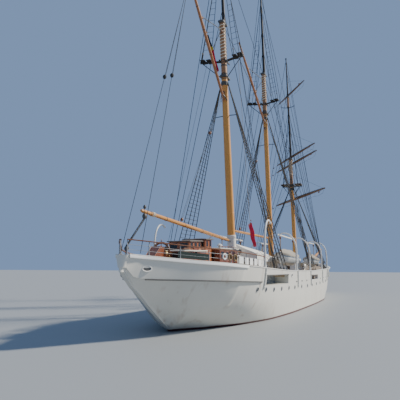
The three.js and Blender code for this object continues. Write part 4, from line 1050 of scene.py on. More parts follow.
for mast, spec in MASTS.items():
    rows, ahead = np.array(spec["lower"]), spec["ahead"]
    low, high = rows[[0, -1], 0]
    head = spec["caps"][0][0]
    split = head - 0.15
    z = np.unique([*rows[:, 0], *np.linspace(low, split, 12), split])
    bands = mast_bands(mast, np.arange(low + 2.2, spec["hounds"] - 1, 2.9))
    build(f"{mast}_lower_pole", [mast_tube(mast, z[z <= split]), bands], mast_buff,
          stands_for=f"{mast}_lower_mast")
    build(f"{mast}_masthead", [mast_tube(mast, np.linspace(split - 0.02, high, 8))], pine)
    turns = np.linspace(0, 1, 11 * 24)
    z = head + 1.7 + turns * (high - head - 2.1)
    reach, spin = mast_radius(mast, z) + 0.03, turns * 11 * 2 * np.pi
    winding = mast_point(mast, z) + xyz(np.cos(spin) * reach, np.sin(spin) * reach, 0)
    build(f"{mast}_head_lashing", [tube(winding, 0.045, 6)], pale_rope)

    rows = np.array(spec["top"])
    low, high = rows[[0, -1], 0]
    truck = mast_point(mast, high - 0.06, ahead)
    build(f"{mast}_topmast_pole", [
        mast_tube(mast, np.unique([*rows[:, 0], *np.linspace(low, high, 9)]), "top", ahead, 20),
        turned(truck - [0, 0, 0.1], truck + [0, 0, 0.06], [(0, 0.1), (0.2, 0.15), (0.7, 0.15), (1, 0.06)]),
        mast_bands(mast, low + np.array([0.35, 0.62, 0.9]) * (high - low), "top", ahead, 0.02),
    ], black_mast, stands_for=f"{mast}_topmast")

    # The caps, and the hounds below them where the shrouds' eyes lie round the mast one above another.
    iron = [mast_bands(mast, spec["hounds"] + np.arange(-0.18, 0.16, 0.065), thick=0.045),
            mast_bands(mast, head + np.array([0.25, 0.33, 1.1, 1.18]), thick=0.03)]
    for z, wide in spec["caps"]:
        foot = mast_point(mast, z)
        iron.append(blocks(foot - [0.42, wide, 0.12], foot + [ahead + 0.34, wide, 0.12], 0.05))
    build(f"{mast}_caps", iron, black_iron)

# The mizzen's base is a white flared casing on the main deck. Round each mast stands an iron ring on six
# arms, with belaying pins in it.
z, radius = np.array([(3.0, 0.74), (3.6, 0.7), (3.7, 0.66), (5.0, 0.62), (6.1, 0.49), (6.6, 0.43),
                      (7.3, 0.425), (7.35, 0.46), (7.6, 0.46), (7.64, 0.41)]).T
build("mizzen_base_casing", [tube(mast_point("mizzen", z), radius, 32)], white_paint,
      stands_for="mizzen_mast_base")
angle = np.arange(14) / 14 * 2 * np.pi
around = xyz(np.cos(angle), np.sin(angle), 0)
pins, rings = [], []
for mast, z, reach in (("mizzen", 5.6, 0.78), ("main", 4.1, 0.62), ("fore", 4.1, 0.6)):
    middle = mast_point(mast, z)
    spot = middle + around * reach
    pins.append(turned(spot - [0, 0, 0.2], spot + [0, 0, 0.2], [
        (0, 0.012), (0.1, 0.02), (0.55, 0.02), (0.58, 0.035), (0.85, 0.028), (1, 0.012)], 8))
    rings += [hoops(middle, (0, 0, 1), reach, 0.04, 32),
              rod(middle + around[::2] * 0.3, middle + around[::2] * reach, 0.025, 6)]
build("mast_belaying_pins", pins, teak_varnish)
build("mast_spider_bands", rings, white_paint)


# Crosstrees and the fore top
# Arms of timber spread the topmast shrouds of the mizzen and main, each swept aft, with foot boards and an
# iron strut from below. The foremast carries a planked half-round top with a lubber's hole and a low rail
# instead, and small crosstrees with a pine doubling higher up, under the topgallant yard.
timbers, boards, iron = [], [], []
for mast in ("mizzen", "main"):
    z, reach, drop, swept = MASTS[mast]["tree"]
    root, foot = mast_point(mast, z), mast_point(mast, z - drop)
    tip = root + [swept, reach, 0]
    for off in (-0.12, 0.12):
        timbers.append(moulding(np.stack([root + [off, 0.1, 0], tip + [off, 0, 0]]), rounded(0.09, 0.1)))
    boards.append(moulding(np.stack([root + [0, 0.5, 0.055], tip + [0, -0.05, 0.055]]), rounded(0.2, 0.03)))
    iron += [turned(foot + [0, 0.25, 0], tip - [0, 0.1, 0.03], [(0, 0.045), (1, 0.035)], 10),
             hoops(tip, PORT, 0.1, 0.025)]
    # Two wide planks lie fore and aft across each arm's outer half, a gap between them.
    for inner, outer in ((0.08, 0.56), (0.66, 1.12)):
        middle = root + [swept * (1 - 0.5 * (inner + outer) / reach), reach, 0]
        timbers.append(blocks(middle + [-0.5, -outer, 0.06], middle + [0.5, -inner, 0.12], 0.01))
    timbers.append(blocks(root + [-0.5, 0.26, -0.1], root + [MASTS[mast]["ahead"] + 0.3, 0.36, 0.1], 0.03))

high = mast_point("fore", 31.0, MASTS["fore"]["ahead"])
timbers.append(moulding(high + np.array([[0.1, 0, 0], [-0.1, 0.7, 0], [-0.5, 1.1, 0]]), rounded(0.08, 0.09)))
doubling = tube(mast_point("fore", np.linspace(31.05, 32.7, 4), MASTS["fore"]["ahead"]), 0.175, 20)
build("topgallant_doubling", [doubling], pine)

# The top is straight aft and round ahead. Each plank runs across it, or to both sides of the hole.
centre = mast_point("fore", 17.98)
edges = np.linspace(-0.9, MASTS["fore"]["ahead"] + 1.2, 15)
whole_boards = []
for a, b in zip(edges[:-1], edges[1:]):
    reach = 1.65 * np.sqrt(max(0.15, 1 - max(0, (b - 0.4) / (edges[-1] - 0.3)) ** 2.2))
    into, inner = (boards, 0.62) if -0.6 < (a + b) / 2 < 0.9 else (whole_boards, -reach)
    into.append(blocks(centre + [a + 0.008, inner, -0.02], centre + [b - 0.008, reach, 0.035], 0.006))
for y, long in ((1.4, 1.0), (0.75, 1.5), (0.36, 1.5)):
    timbers.append(blocks(centre + [-0.85, y - 0.05, -0.14], centre + [long, y + 0.05, -0.02], 0.015))
cross = blocks(centre + [[-0.76, -1.6, -0.2], [0.69, -1.6, -0.2]],
               centre + [[-0.64, 1.6, -0.12], [0.81, 1.6, -0.12]], 0.015)
futtocks = centre + [[x, 1.58, -0.02] for x in (-0.6, 0.0, 0.6)]
iron.append(rod(mast_point("fore", 16.28) + [0, 0.3, 0], futtocks, 0.025))
angle = np.radians(np.linspace(-78, 78, 15))
rim = tube(centre + xyz(0.4 + 1.2 * np.cos(angle), 1.6 * np.sin(angle) / np.sin(angle[-1]), 0.04), 0.035)
hooped = [hoops(mast_point("fore", [31.0, 31.1, 32.7], MASTS["fore"]["ahead"]), (0, 0, 1), 0.18, 0.03)]
for mast in ("mizzen", "main"):
    z, _, drop, _ = MASTS[mast]["tree"]
    hooped.append(mast_bands(mast, [z - drop - 0.1, z - drop + 0.1, z - 0.12, z + 0.12], thick=0.035))
build("crosstree_timbers", [*both(*timbers), cross], black_mast)
build("crosstree_boards", [*both(*boards), *whole_boards], deck_teak)
build("crosstree_irons", [*both(*iron), rim, *hooped], black_iron)


# Booms and gaffs
# Varnished pine spars with rounded ends. Jaws or a gooseneck hold them to the mast, and iron bands carry
# the blocks. The topping lifts and peak halyards ride with them from the line they swing about.
boom_pine = wooden("boom_pine", (0.62, 0.28, 0.055), (0.40, 0.16, 0.035), stretch=(0.04, 1, 1), wear=0.1,
                   roughness=0.3, Coat_Weight=0.3, slot="mast_buff")
gaff_brown = wooden("gaff_brown", (0.42, 0.17, 0.06), (0.20, 0.07, 0.03), stretch=(0.2, 1, 0.2), wear=0.1,
                    roughness=0.35, Coat_Weight=0.2, slot="mast_buff")
tarred = painted("tarred_wire", (0.010, 0.010, 0.012), streaks=0.1, roughness=0.7, slot="rigging_wire")


def pulleys(centre, way, long=0.34):
    """Rigging blocks: oval wooden shells about centres (n, 3), their length along the way."""
    centre, way = listed(centre, way)
    way = unit(way) * long / 2
    shape = [(0, 0.02), (0.08, 0.16), (0.25, 0.29), (0.5, 0.36), (0.75, 0.29), (0.92, 0.16), (1, 0.02)]
    return turned(centre - way, centre + way, [(part, r * long) for part, r in shape], 12)


# Columns: name, mast, height at the mast, after end, radius at the middle and at the end, height of its
# hoist's head, where along the spar the hoist is fast, its ropes' radius.
SPARS = [
    ("spanker_boom", "mizzen", 7.05, (-31.3, 7.97), 0.155, 0.11, 21.9, (0.66,), 0.012),
    ("main_boom", "main", 8.3, (-13.4, 8.13), 0.135, 0.1, 22.9, (0.9,), 0.014),
    ("mizzen_gaff", "mizzen", 20.9, (-24.6, 28.85), 0.14, 0.08, 28.2, (0.42, 0.72), 0.013),
    ("main_gaff", "main", 23.35, (-11.5, 29.7), 0.14, 0.08, 29.3, (0.42, 0.72), 0.013),
]
spar_ends = {}
for name, mast, start_z, (tip_x, tip_z), thick, thin, head_z, fractions, rope in SPARS:
    is_boom, body = "boom" in name, f"{name}_body"
    side = mast_radius(mast, start_z)
    start, tip = mast_point(mast, start_z, -side - 0.02), np.array([tip_x, 0, tip_z])
    spar_ends[name] = start, tip
    length, way = tip - start, unit(tip - start)
    rows = [(0, 0.02), (0.005, 0.07), (0.05, 0.85 * thick), (0.2, 0.95 * thick), (0.4, thick),
            (0.6, 0.97 * thick), (0.75, 0.92 * thick), (0.9, 0.5 * (thin + 0.92 * thick)), (0.992, thin),
            (1, thin * 0.7)]
    build(f"{name}_pole", [turned(start, tip, rows, 24)], boom_pine if is_boom else gaff_brown, body, name)
    part = np.array([0.06, 0.09, 0.42, 0.62, 0.8, 0.93, 0.985])[:, None]
    bands = [hoops(start + length * part, way, np.interp(part[:, 0], *np.array(rows).T) + 0.004, 0.02, 20)]
    if is_boom:
        bands.append(turned(start - way * 0.01, start + way * 0.5, [
            (0, 0.09), (0.3, 0.1), (0.9, 0.13), (1, 0.12)], 14))
    else:
        # Jaws of oak reach either side of the mast.
        throat = start + way * 0.7 + [0, 0.1, 0]
        lip = mast_point(mast, start_z, -side - 0.06) + [0, side, 0]
        jaw = np.stack([lip, (lip + throat) / 2 + [0, 0.02, 0], throat])
        bands += both(moulding(jaw, rounded(0.07, 0.16)))
    build(f"{name}_bands", bands, black_iron, body)

    head = mast_point(mast, head_z, -mast_radius(mast, head_z) - 0.1)
    ropes, shells = [], [pulleys(head - [0, 0, 0.2], (0, 0, 1), 0.38)]
    for part in fractions:
        foot = start + length * part
        rise = unit(head - foot)
        for off in (-0.05, 0.05) if is_boom else (-0.03, 0.0, 0.03):
            ropes.append(rod(foot + [0, off, 0.1], head + [0, off * 1.5, 0], rope, 6))
        shells.append(pulleys(foot + rise * 0.42, rise))
    if is_boom:
        shells.append(pulleys(foot + (head - foot) * 0.62, rise, 0.4))
    build(f"{name}_hoist", ropes, wire_rope, body)
    build(f"{name}_hoist_blocks", shells, teak_varnish, body)


def stretching(name, patches):
    """A piece of rigging between a point of the ship and one of a moving body, on no body, its place baked
    in.
    """
    piece = build(name, patches, tarred, None)
    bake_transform(piece)


# Two vangs lead from the mizzen gaff's peak to the taffrail. The spanker sheet is a tackle from the boom's
# end to the taffrail, with lazy turns of its fall round the boom.
peak = spar_ends["mizzen_gaff"][1]
for side_name, foot in (("port", np.array([-32.55, 0.6, 5.2])), ("starboard", np.array([-32.55, -0.8, 5.2]))):
    rise = unit(peak - foot)
    middle = foot + (peak - foot) * 0.56
    vang = [rod(foot, peak - rise * 0.1, 0.018, 6, 8),
            rod(middle + [0.09, 0, 0], peak - rise * 0.15, 0.014, 6, 4),
            pulleys(middle, rise, 0.42)]
    stretching(f"gaff_vang_{side_name}", vang)

start, tip = spar_ends["spanker_boom"]
hung, horse = start + (tip - start) * 0.975, np.array([-32.75, 0.05, 5.45])
shells = [pulleys(hung + [0, 0, 0.3], (0, 0, 1), 0.3), pulleys(hung - [0, 0, 0.3], (0, 0, 1), 0.42)]
build("spanker_sheet_blocks", shells, black_iron, "spanker_boom_body")
falls = np.array([(-0.09, -0.05, 0), (-0.03, 0.05, 0), (0.03, -0.05, 0), (0.09, 0.05, 0)])
falls = rod(horse + falls * [0.5, 1, 1] + [0, 0, 0.2], hung + falls - [0, 0, 0.45], 0.02, 6, 6)
stretching("spanker_sheet", [falls])
lower = [pulleys(horse + [0, 0, 0.05], hung - horse, 0.4),
         rod(horse - [0.05, 0, 0.45], horse - [0, 0, 0.1], 0.03)]
build("spanker_sheet_lower_block", lower, black_iron)
coil = np.linspace(0, 12 * np.pi, 12 * 16)[:, None]
side_way = unit(np.cross([0, 1, 0], tip - start))
lazy = start + (tip - start) * (0.9 + 0.02 * coil / coil[-1])
lazy = lazy + np.array([0, 0.15, 0]) * np.cos(coil) + side_way * np.sin(coil) * 0.15
build("spanker_sheet_turns", [tube(lazy, 0.018, 6)], pale_rope, "spanker_boom_body")


# Yards
# Four yards cross the foremast, braced up sharp. The poles taper to both ends, with a jackstay on top, foot
# ropes on stirrups below, an iron truss to the mast and lifts to the line they turn about.
yard_brown = wooden("yard_brown", (0.30, 0.16, 0.08), (0.09, 0.045, 0.028), stretch=(1, 0.05, 1), wear=0.3,
                    roughness=0.45)
BRACE = np.radians(-54)
ahead_way = np.array([np.cos(BRACE), np.sin(BRACE), 0])
across_way = np.array([-np.sin(BRACE), np.cos(BRACE), 0])
up = np.array([0, 0, 1.0])
TAPER = [(0, 0.4), (0.005, 0.46), (0.04, 0.5), (0.2, 0.75), (0.35, 0.93), (0.5, 1), (0.65, 0.93), (0.8, 0.75),
         (0.96, 0.5), (0.995, 0.46), (1, 0.4)]


def yard_radius(along, thick):
    """A yard's radius at parts of its half length, from -1 at one arm to 1 at the other."""
    return np.interp(along / 2 + 0.5, *np.array(TAPER).T) * thick


# Columns: name, height, distance ahead of the lower mast, length of the truss, half length, radius, rise of
# the lifts as a part of the half length.
for name, z, ahead, truss, half, thick, lift in (
        ("fore_yard", 15.88, 0.0, 0.95, 9.15, 0.21, 0.4125),
        ("lower_topsail_yard", 21.77, 0.46, 0.6, 7.8, 0.17, 0.4125),
        ("upper_topsail_yard", 22.99, 0.46, 0.6, 7.35, 0.16, 0.495),
        ("topgallant_yard", 33.45, 0.46, 0.5, 5.2, 0.13, 0.4125)):
    body = f"{name}_body"
    pivot = mast_point("fore", z, ahead)
    middle, arm = pivot + ahead_way * truss, across_way * half
    pole = turned(middle - arm, middle + arm, [(part, r * thick) for part, r in TAPER], 20)
    build(f"{name}_pole", [pole], yard_brown, body, name)
    along = np.array([-0.985, -0.93, -0.6, -0.12, 0.12, 0.6, 0.93, 0.985])
    iron = [hoops(middle + arm * along[:, None], across_way, yard_radius(along, thick) + 0.004, 0.018, 20),
            turned(pivot + ahead_way * 0.3, middle, [(0, 0.07), (1, 0.09)], 12)]
    # Jackstay and its eyes on top of the yard.
    along = np.linspace(-0.95, 0.95, 27)
    stay = middle + arm * along[:, None] + up * (0.06 + yard_radius(along, thick)[:, None])
    iron += [tube(stay, 0.014, 6), rod(stay[1:-1:2] - up * 0.08, stay[1:-1:2], 0.012, 6)]
    # Gaskets are wound round the yard from arm to arm, a hand apart.
    along = np.linspace(-0.9, 0.9, 34 * 12)
    spin, wrap = along * 34 / 1.8 * 2 * np.pi, yard_radius(along, thick) + 0.012
    gasket = middle + arm * along[:, None] + ahead_way * (np.cos(spin) * wrap)[:, None]
    gasket = gasket + up * (np.sin(spin) * wrap)[:, None]
    build(f"{name}_gaskets", [tube(gasket, 0.022, 5)], tarred, body)
    # Foot ropes hang in three bays a side. Lifts and brace pendants are fast at the yardarms.
    along = np.linspace(0.05, 0.95, 25)[:, None]
    sag = 0.62 + 0.13 * np.abs(np.sin(along / 0.3 * np.pi))
    shells = []
    for way in (arm, -arm):
        rope = middle + way * along - up * sag + ahead_way * 0.05
        rope[-1] += up * 0.5
        end = middle + way * 0.965
        iron += [tube(rope, 0.013, 6), rod(rope[[8, 16]], rope[[8, 16]] + up * 0.66, 0.011, 6),
                 rod(end, pivot + up * lift * half + ahead_way * 0.3, 0.013, 6),
                 rod(end, end - ahead_way * 0.7 - up * 0.5, 0.013, 6)]
        shells.append(pulleys(end - ahead_way * 0.8 - up * 0.58, ahead_way + up * 0.7, 0.3))
    build(f"{name}_ironwork", iron, black_iron, body)
    build(f"{name}_blocks", shells, teak_varnish, body)


# Bowsprit
# A pine pole with its heel at the forecastle bitts, iron bands where stays land, a dolphin striker,
# bobstays to the stem, shrouds to the bows and a net slung below.
sprit_foot, sprit_tip = np.array([30.2, 0, 5.95]), np.array([44.3, 0, 8.77])


def on_sprit(x):
    """Points of the bowsprit's middle line at frames x."""
    part = (np.asarray(x, float)[..., None] - sprit_foot[0]) / (sprit_tip - sprit_foot)[0]
    return sprit_foot + (sprit_tip - sprit_foot) * part


rows = [(0, 0.24), (0.003, 0.26), (0.35, 0.26), (0.7, 0.19), (0.995, 0.11), (1, 0.09)]
build("bowsprit_pole", [turned(sprit_foot, sprit_tip, rows, 24)], boom_pine, stands_for="bowsprit")
build("bowsprit_knee", [blocks((30.0, -0.34, 4.9), (31.2, 0.34, 5.78), 0.06),
                        *both(blocks((30.05, 0.3, 5.0), (30.55, 0.44, 6.3), 0.03))], white_paint)
x = np.array([30.9, 32.4, 35.2, 38.0, 38.4, 41.3, 43.2, 43.9])
part = (x - sprit_foot[0]) / (sprit_tip - sprit_foot)[0]
radius = np.interp(part, [0, 0.35, 1], [0.26, 0.26, 0.11]) + 0.005
striker, stem_foot = on_sprit(38.4) - [0.3, 0, 2.4], np.array([32.55, 0, 1.6])
iron = [hoops(on_sprit(x), sprit_tip - sprit_foot, radius, 0.03),
        turned(on_sprit(38.4) - [0, 0, 0.1], striker, [
            (0, 0.05), (0.1, 0.07), (0.9, 0.06), (0.93, 0.09), (0.98, 0.09), (1, 0.03)], 14),
        rod([striker, striker, striker, on_sprit(35.2) - [0, 0, 0.2]],
            [on_sprit(43.7), on_sprit(41.3), stem_foot, stem_foot + [0, 0, 0.3]], 0.02)]
bow = on_rail(30.4, 0) * [1, 1, 0] + [0, 0, 4.9]
guys = rod([bow, bow, bow - [0.2, 0, 0.5]],
           [on_sprit(38.4) + [0, 0.18, 0], on_sprit(43.2) + [0, 0.12, 0], striker], 0.02)
build("bowsprit_ironwork", [*iron, *both(guys)], black_iron)
# The net: ropes along it from bow to striker and sagging meshes across.
x, part = np.linspace(32.6, 40.5, 27), np.linspace(-1, 1, 9)[:, None]
spread = np.interp(x, [32.6, 38.4, 40.5], [1.35, 0.75, 0.35])
net = on_sprit(x) + xyz(0, part * spread, -0.35 - 0.55 * (1 - part ** 2))
build("bowsprit_net", [tube(net, 0.009, 5), tube(net.swapaxes(0, 1), 0.009, 5)], manila)


# Standing rigging
# Four wire shrouds a side hold each lower mast. Their eyes lie over the hounds, and deadeyes with lanyards
# set them up at the rail under an iron sheer pole. An iron strut holds the foremost shroud of the mizzen
# and main off the mast. Ratlines cross them a step apart, and rope coils hang on the pin rails.
coils = []
for mast, feet in (("mizzen", (-13.2, -14.5, -15.8, -17.1)), ("main", (3.2, 2.0, 0.8, -0.4)),
                   ("fore", (14.5, 13.1, 12.3, 11.5))):
    hounds = MASTS[mast]["hounds"]
    head = mast_point(mast, hounds) + [0, mast_radius(mast, hounds) + 0.1, 0]
    foot = on_rail(np.array(feet))
    rise = unit(head - foot)
    lower_eye, upper_eye = foot + rise * 0.2, foot + rise * 1.02
    wires = [turned(upper_eye, head + rise * 0.1 - [0, 0.05, 0], [
                 (0, 0.05), (0.06, 0.05), (0.065, 0.038), (0.9, 0.038), (0.91, 0.05), (1, 0.05)], 8),
             turned(foot - [0, 0, 0.05], lower_eye, [(0, 0.035), (1, 0.02)], 8)]
    wires += [rod(lower_eye + [off, 0, 0], upper_eye + [off, 0, 0], 0.014, 6) for off in (-0.055, 0.0, 0.055)]
    if mast != "fore":
        grip = head + (foot[0] - head) * 0.175
        wires.append(turned(mast_point(mast, grip[2]), grip, [(0, 0.045), (1, 0.035)], 8))
    pair(f"{mast}_shroud_wires", wires, tarred, f"{mast}_shrouds")

    eyes = np.concatenate([lower_eye, upper_eye])
    deadeyes = turned(eyes - [0, 0.055, 0], eyes + [0, 0.055, 0], [
        (0, 0.06), (0.15, 0.11), (0.42, 0.12), (0.5, 0.105), (0.58, 0.12), (0.85, 0.11), (1, 0.06)], 14)
    pair(f"{mast}_deadeyes", [deadeyes], black_mast)

    sheer = upper_eye + rise * 0.2
    overhang = (sheer[0] - sheer[-1]) * 0.04
    z = np.arange(sheer[:, 2].max() + 0.36, hounds - 1.4, 0.38)[:, None]
    steps = foot + (head - foot) * ((z - foot[:, 2]) / (head[2] - foot[:, 2]))[..., None]
    woven = np.empty((len(z), 7, 3))
    woven[:, ::2], woven[:, 1::2] = steps, (steps[:, 1:] + steps[:, :-1]) / 2 - [0, 0, 0.018]
    pole = tube(np.stack([sheer[0] + overhang, sheer[-1] - overhang]), 0.036)
    pair(f"{mast}_ratlines", [tube(woven, 0.021, 6), pole], tarred)

    # The pin rail inside the bulwark, and a coil over each of its pins.
    shelf = on_rail(np.linspace(max(feet) + 0.5, min(feet) - 0.5, 10), 0.34, -0.22)
    spot = shelf[1:-1] + (shelf[1] - shelf[0]) * 0.25
    pins = turned(spot - [0, 0, 0.2], spot + [0, 0, 0.2], [
        (0, 0.012), (0.5, 0.022), (0.56, 0.036), (0.85, 0.03), (1, 0.014)], 8)
    pair(f"{mast}_pin_rail", [moulding(shelf, rounded(0.18, 0.06)), pins], teak_varnish)
    swing = np.linspace(0, 2 * np.pi, 18, endpoint=False)
    for layer in (-1, 0, 1):
        loop = xyz(0.085 * np.sin(swing) * (1 + 0.15 * layer) + 0.01 * layer, -0.05 - 0.03 * layer,
                   -0.17 + 0.2 * np.cos(swing))
        coils.append(tube(spot[:, None] + loop, 0.016, 6, closed=True))
build("rope_coils", both(*coils), manila)

# Stays ahead of the masts, served where they meet iron, with turnbuckles at the bowsprit.
for name, top, foot, thick in (
        ("fore_stay", mast_point("fore", 17.3, 0.3), on_sprit(31.4) + [0, 0, 0.25], 0.03),
        ("jib_stay", mast_point("fore", 30.4, 0.62), on_sprit(38.0) + [0, 0, 0.2], 0.026),
        ("flying_jib_stay", mast_point("fore", 37.2, 0.58), on_sprit(43.2) + [0, 0, 0.12], 0.024),
        ("main_stay", mast_point("main", 24.3, 0.3), mast_point("fore", 16.6, -0.31), 0.03)):
    rise = unit(top - foot)
    wire = turned(foot, top, [(part, thick * swell) for part, swell in (
        (0, 1.5), (0.035, 1.5), (0.036, 1), (0.96, 1), (0.961, 1.4), (1, 1.4))], 8)
    bottle = turned(foot + rise * 0.35, foot + rise * 0.85, [
        (0, 0.03), (0.1, 0.06), (0.3, 0.07), (0.7, 0.07), (0.9, 0.06), (1, 0.03)], 10)
    shackle = hoops(foot + rise * 0.12, np.cross(rise, [0, 1, 0]), 0.075, 0.025, 16)
    build(f"{name}_wire", [wire, bottle, shackle], tarred, stands_for=name)

# Topmast rigging: shrouds spread by the crosstrees, with lanyards and a few ratlines, backstays to the
# rail, and the stays that tie one topmast to the next mast ahead. Columns: mast, height of the head,
# height of the feet, step between ratlines, then each foot's place ahead of and beside the mast.
shrouds = []
for mast, high, z, step, feet in (
        ("mizzen", 37.0, 25.1, 0.62, [(-0.68, 2.2, 0), (-0.56, 2.18, 0), (-0.36, 1.25, 0)]),
        ("main", 40.5, 26.15, 0.62, [(-0.8, 2.01, 0), (-0.68, 1.99, 0), (-0.4, 1.1, 0)]),
        ("fore", 29.9, 18.05, 0.32, [(-0.85, 1.2, 0), (-0.72, 1.12, 0)])):
    head = mast_point(mast, high, MASTS[mast]["ahead"] - 0.1)
    foot = mast_point(mast, z) + feet
    rise = unit(head - foot)
    shrouds.append(turned(foot + rise * 0.9, head, [(0, 0.03), (1, 0.026)], 6))
    shrouds += [rod(foot + [off, 0, 0], foot + rise * 0.95 + [off, 0, 0], 0.017, 5)
                for off in (-0.06, 0, 0.06)]
    eyes = np.concatenate([foot, foot + rise * 0.9])
    shrouds.append(turned(eyes - [0, 0.04, 0], eyes + [0, 0.04, 0], [
        (0, 0.08), (0.3, 0.13), (0.7, 0.13), (1, 0.08)], 10))
    part = (np.arange(z + 1.3, z + 9.0, step) - z) / (head[2] - z)
    shrouds.append(tube(foot + (head - foot) * part[:, None, None], 0.016, 5))
build("topmast_shrouds", both(*shrouds), tarred)

wires = []
for mast, z, x in (
        ("mizzen", 38.3, -18.2), ("mizzen", 30.5, -17.75), ("main", 42.0, -0.95), ("main", 36.0, -0.7),
        ("main", 33.2, -0.82), ("main", 28.6, -0.55), ("fore", 38.6, 10.0), ("fore", 33.3, 10.5),
        ("fore", 29.8, 11.0), ("fore", 27.0, 10.25), ("fore", 24.4, 10.75), ("fore", 21.6, 11.2)):
    head = mast_point(mast, z, MASTS[mast]["ahead"] - 0.1) + [0, 0.1, 0]
    wires.append(turned(on_rail(x), head, [
        (0, 0.02), (0.006, 0.02), (0.008, 0.05), (0.022, 0.05), (0.025, 0.027), (0.985, 0.027), (0.986, 0.03),
        (1, 0.03)], 8))
# Flag halyards from the crosstrees to the rail.
for mast, x in (("mizzen", -19.0), ("main", -1.6)):
    z, reach = MASTS[mast]["tree"][:2]
    wires.append(rod(on_rail(x), mast_point(mast, z - 0.1) + [-0.2, reach - 0.5, 0], 0.014, 5))
tops = [mast_point("mizzen", 37.6, 0.62), mast_point("main", 41.2, 0.58), mast_point("main", 30.2, 0.85),
        mast_point("mizzen", 28.9, 0.9)]
feet = [mast_point("main", 30.3, -0.25), mast_point("fore", 30.2, 0.3), mast_point("fore", 22.3, -0.2),
        mast_point("main", 25.0, -0.35)]
ties = turned(tops, feet, [
    (0, 0.034), (0.02, 0.034), (0.025, 0.025), (0.97, 0.025), (0.975, 0.034), (1, 0.034)], 8)
build("backstays", [*both(*wires), ties], tarred)


# Flags
# The ensign hangs limp in folds along the mizzen gaff, and a small red flag by the awning from a halyard of
# the mizzen crosstree. Both are light bunting with a line through the hem and wooden toggles.
def pleats(width, span, folds, samples):
    """A wave over the span, as long along the cloth as the width: (across, out) offsets."""
    t = np.linspace(0, 1, samples)
    low, high = np.zeros(1), np.full(1, width)
    for _ in range(40):
        middle = (low + high) / 2
        out = middle * np.sin(t * folds * 2 * np.pi) * (0.75 + 0.25 * np.cos(t * 9))
        wave = np.stack([t * span, out], -1)
        too_long = np.linalg.norm(np.diff(wave, axis=0), axis=1).sum() > width
        low, high = (low, middle) if too_long else (middle, high)
    return wave


def bunting(name, stripes):
    """Loosely woven flag cloth in bands of colour along the sheet's own length."""
    material = painted(name, stripes[0][1], 0.05, 0.2, 0.85, (0.2, 0.15, 0.1, 1), bump=0.2, distance=0.001,
                       slot="flag_cloth")
    tree = material.node_tree
    along = node(tree, "ShaderNodeSeparateXYZ", {0: node(tree, "ShaderNodeTexCoord").outputs["UV"]})
    colour = node(tree, "ShaderNodeValToRGB", {0: along.outputs["Y"]})
    colour.color_ramp.interpolation = "CONSTANT"
    stops = colour.color_ramp.elements
    for index, (start, tone) in enumerate(stripes):
        stop = stops[index] if index < 2 else stops.new(start)
        stop.position, stop.color = start, (*tone, 1)
    tree.links.new(colour.outputs["Color"], tree.nodes["Principled BSDF"].inputs["Base Color"])
    return material


def lengths(grid, chosen=np.mean):
    """Lengths of a sheet (rows, columns, 3) along its rows and down its columns, in metres of the model."""
    return [round(float(chosen(np.linalg.norm(np.diff(grid, axis=axis), axis=-1).sum(axis)) * HALF), 2)
            for axis in (1, 0)]


# Columns: name, body, start and end of the cloth, flat width, gathered width, folds, CAD node, stripes.
for name, body, start, end, wide, gathered, folds, stands_for, stripes in (
        ("ensign", "mizzen_gaff_body", (-20.75, -0.02, 25.62), (-18.15, -0.02, 23.25), 2.4, 0.5, 5, "ensign",
         [(0.0, (0.012, 0.012, 0.014)), (0.3, (0.38, 0.34, 0.03)), (0.4, (0.42, 0.012, 0.05))]),
        ("signal_flag", "ship", (-17.66, -3.0, 8.35), (-16.4, -3.0, 6.4), 1.9, 0.55, 3, "",
         [(0.0, (0.62, 0.03, 0.09)), (0.9, (0.66, 0.10, 0.14))])):
    start, end = np.array(start), np.array(end)
    wave = pleats(wide, gathered, folds, 57)
    v = np.linspace(0, 1, 41)[:, None]
    way = unit(end - start)
    down = unit(np.cross(way, [0, 1, 0]))
    down = down * np.sign(-down[2])
    ripple = 0.03 * np.sin(v * 11 + wave[:, 0] * 3)
    spread = 0.75 + 0.25 * np.sin(v * np.pi * 0.9 + 0.4)
    cloth = start + (end - start) * (v[..., None] + 0.012 * np.sin(wave[:, :1] * 7))
    cloth = cloth + down * ((wave[:, 0] - gathered / 2) * spread)[..., None]
    cloth = cloth + np.array([0, 1, 0]) * (wave[:, 1] * spread + ripple)[..., None]
    flag = build(f"{name}_cloth", [cloth], bunting(f"{name}_cloth", stripes), body, stands_for)
    head, hem = cloth[0, 0], cloth[0, -1]
    toggles = build(f"{name}_toggles", [tube([head - way * 0.25, head, hem, hem + down * 0.2], 0.012, 6),
                                        pulleys(head - way * 0.2, way, 0.16)], manila, body)
    tuple(lengths(cloth))
halyard = rod([(-17.9, -3.0, 8.7), (-16.3, -3.0, 6.25)],
              [mast_point("mizzen", 24.9) + [-0.2, -1.6, 0], (-16.1, -4.15, 5.2)], 0.013, 6)
build("signal_flag_halyard", [halyard], manila)


# Davits and boats
# White tubular davits curve inboard over four clinker-built boats, their heads tied by a spar. Each boat
# hangs in rope falls on hooks, under a canvas cover laced below the gunwale over a ridge pole.
def smoothed(points, count):
    """A Catmull-Rom curve through points (n, 3), sampled evenly in its parameter."""
    ghost = np.concatenate([[2 * points[0] - points[1]], points, [2 * points[-1] - points[-2]]])
    at = np.linspace(0, len(points) - 1 - 1e-9, count)
    i, t = at.astype(int), (at % 1)[:, None]
    a, b, c, d = (ghost[i + k] for k in range(4))
    return b + ((c - a) * t + (2 * a - 5 * b + 4 * c - d) * t ** 2 + (3 * b - a - 3 * c + d) * t ** 3) / 2


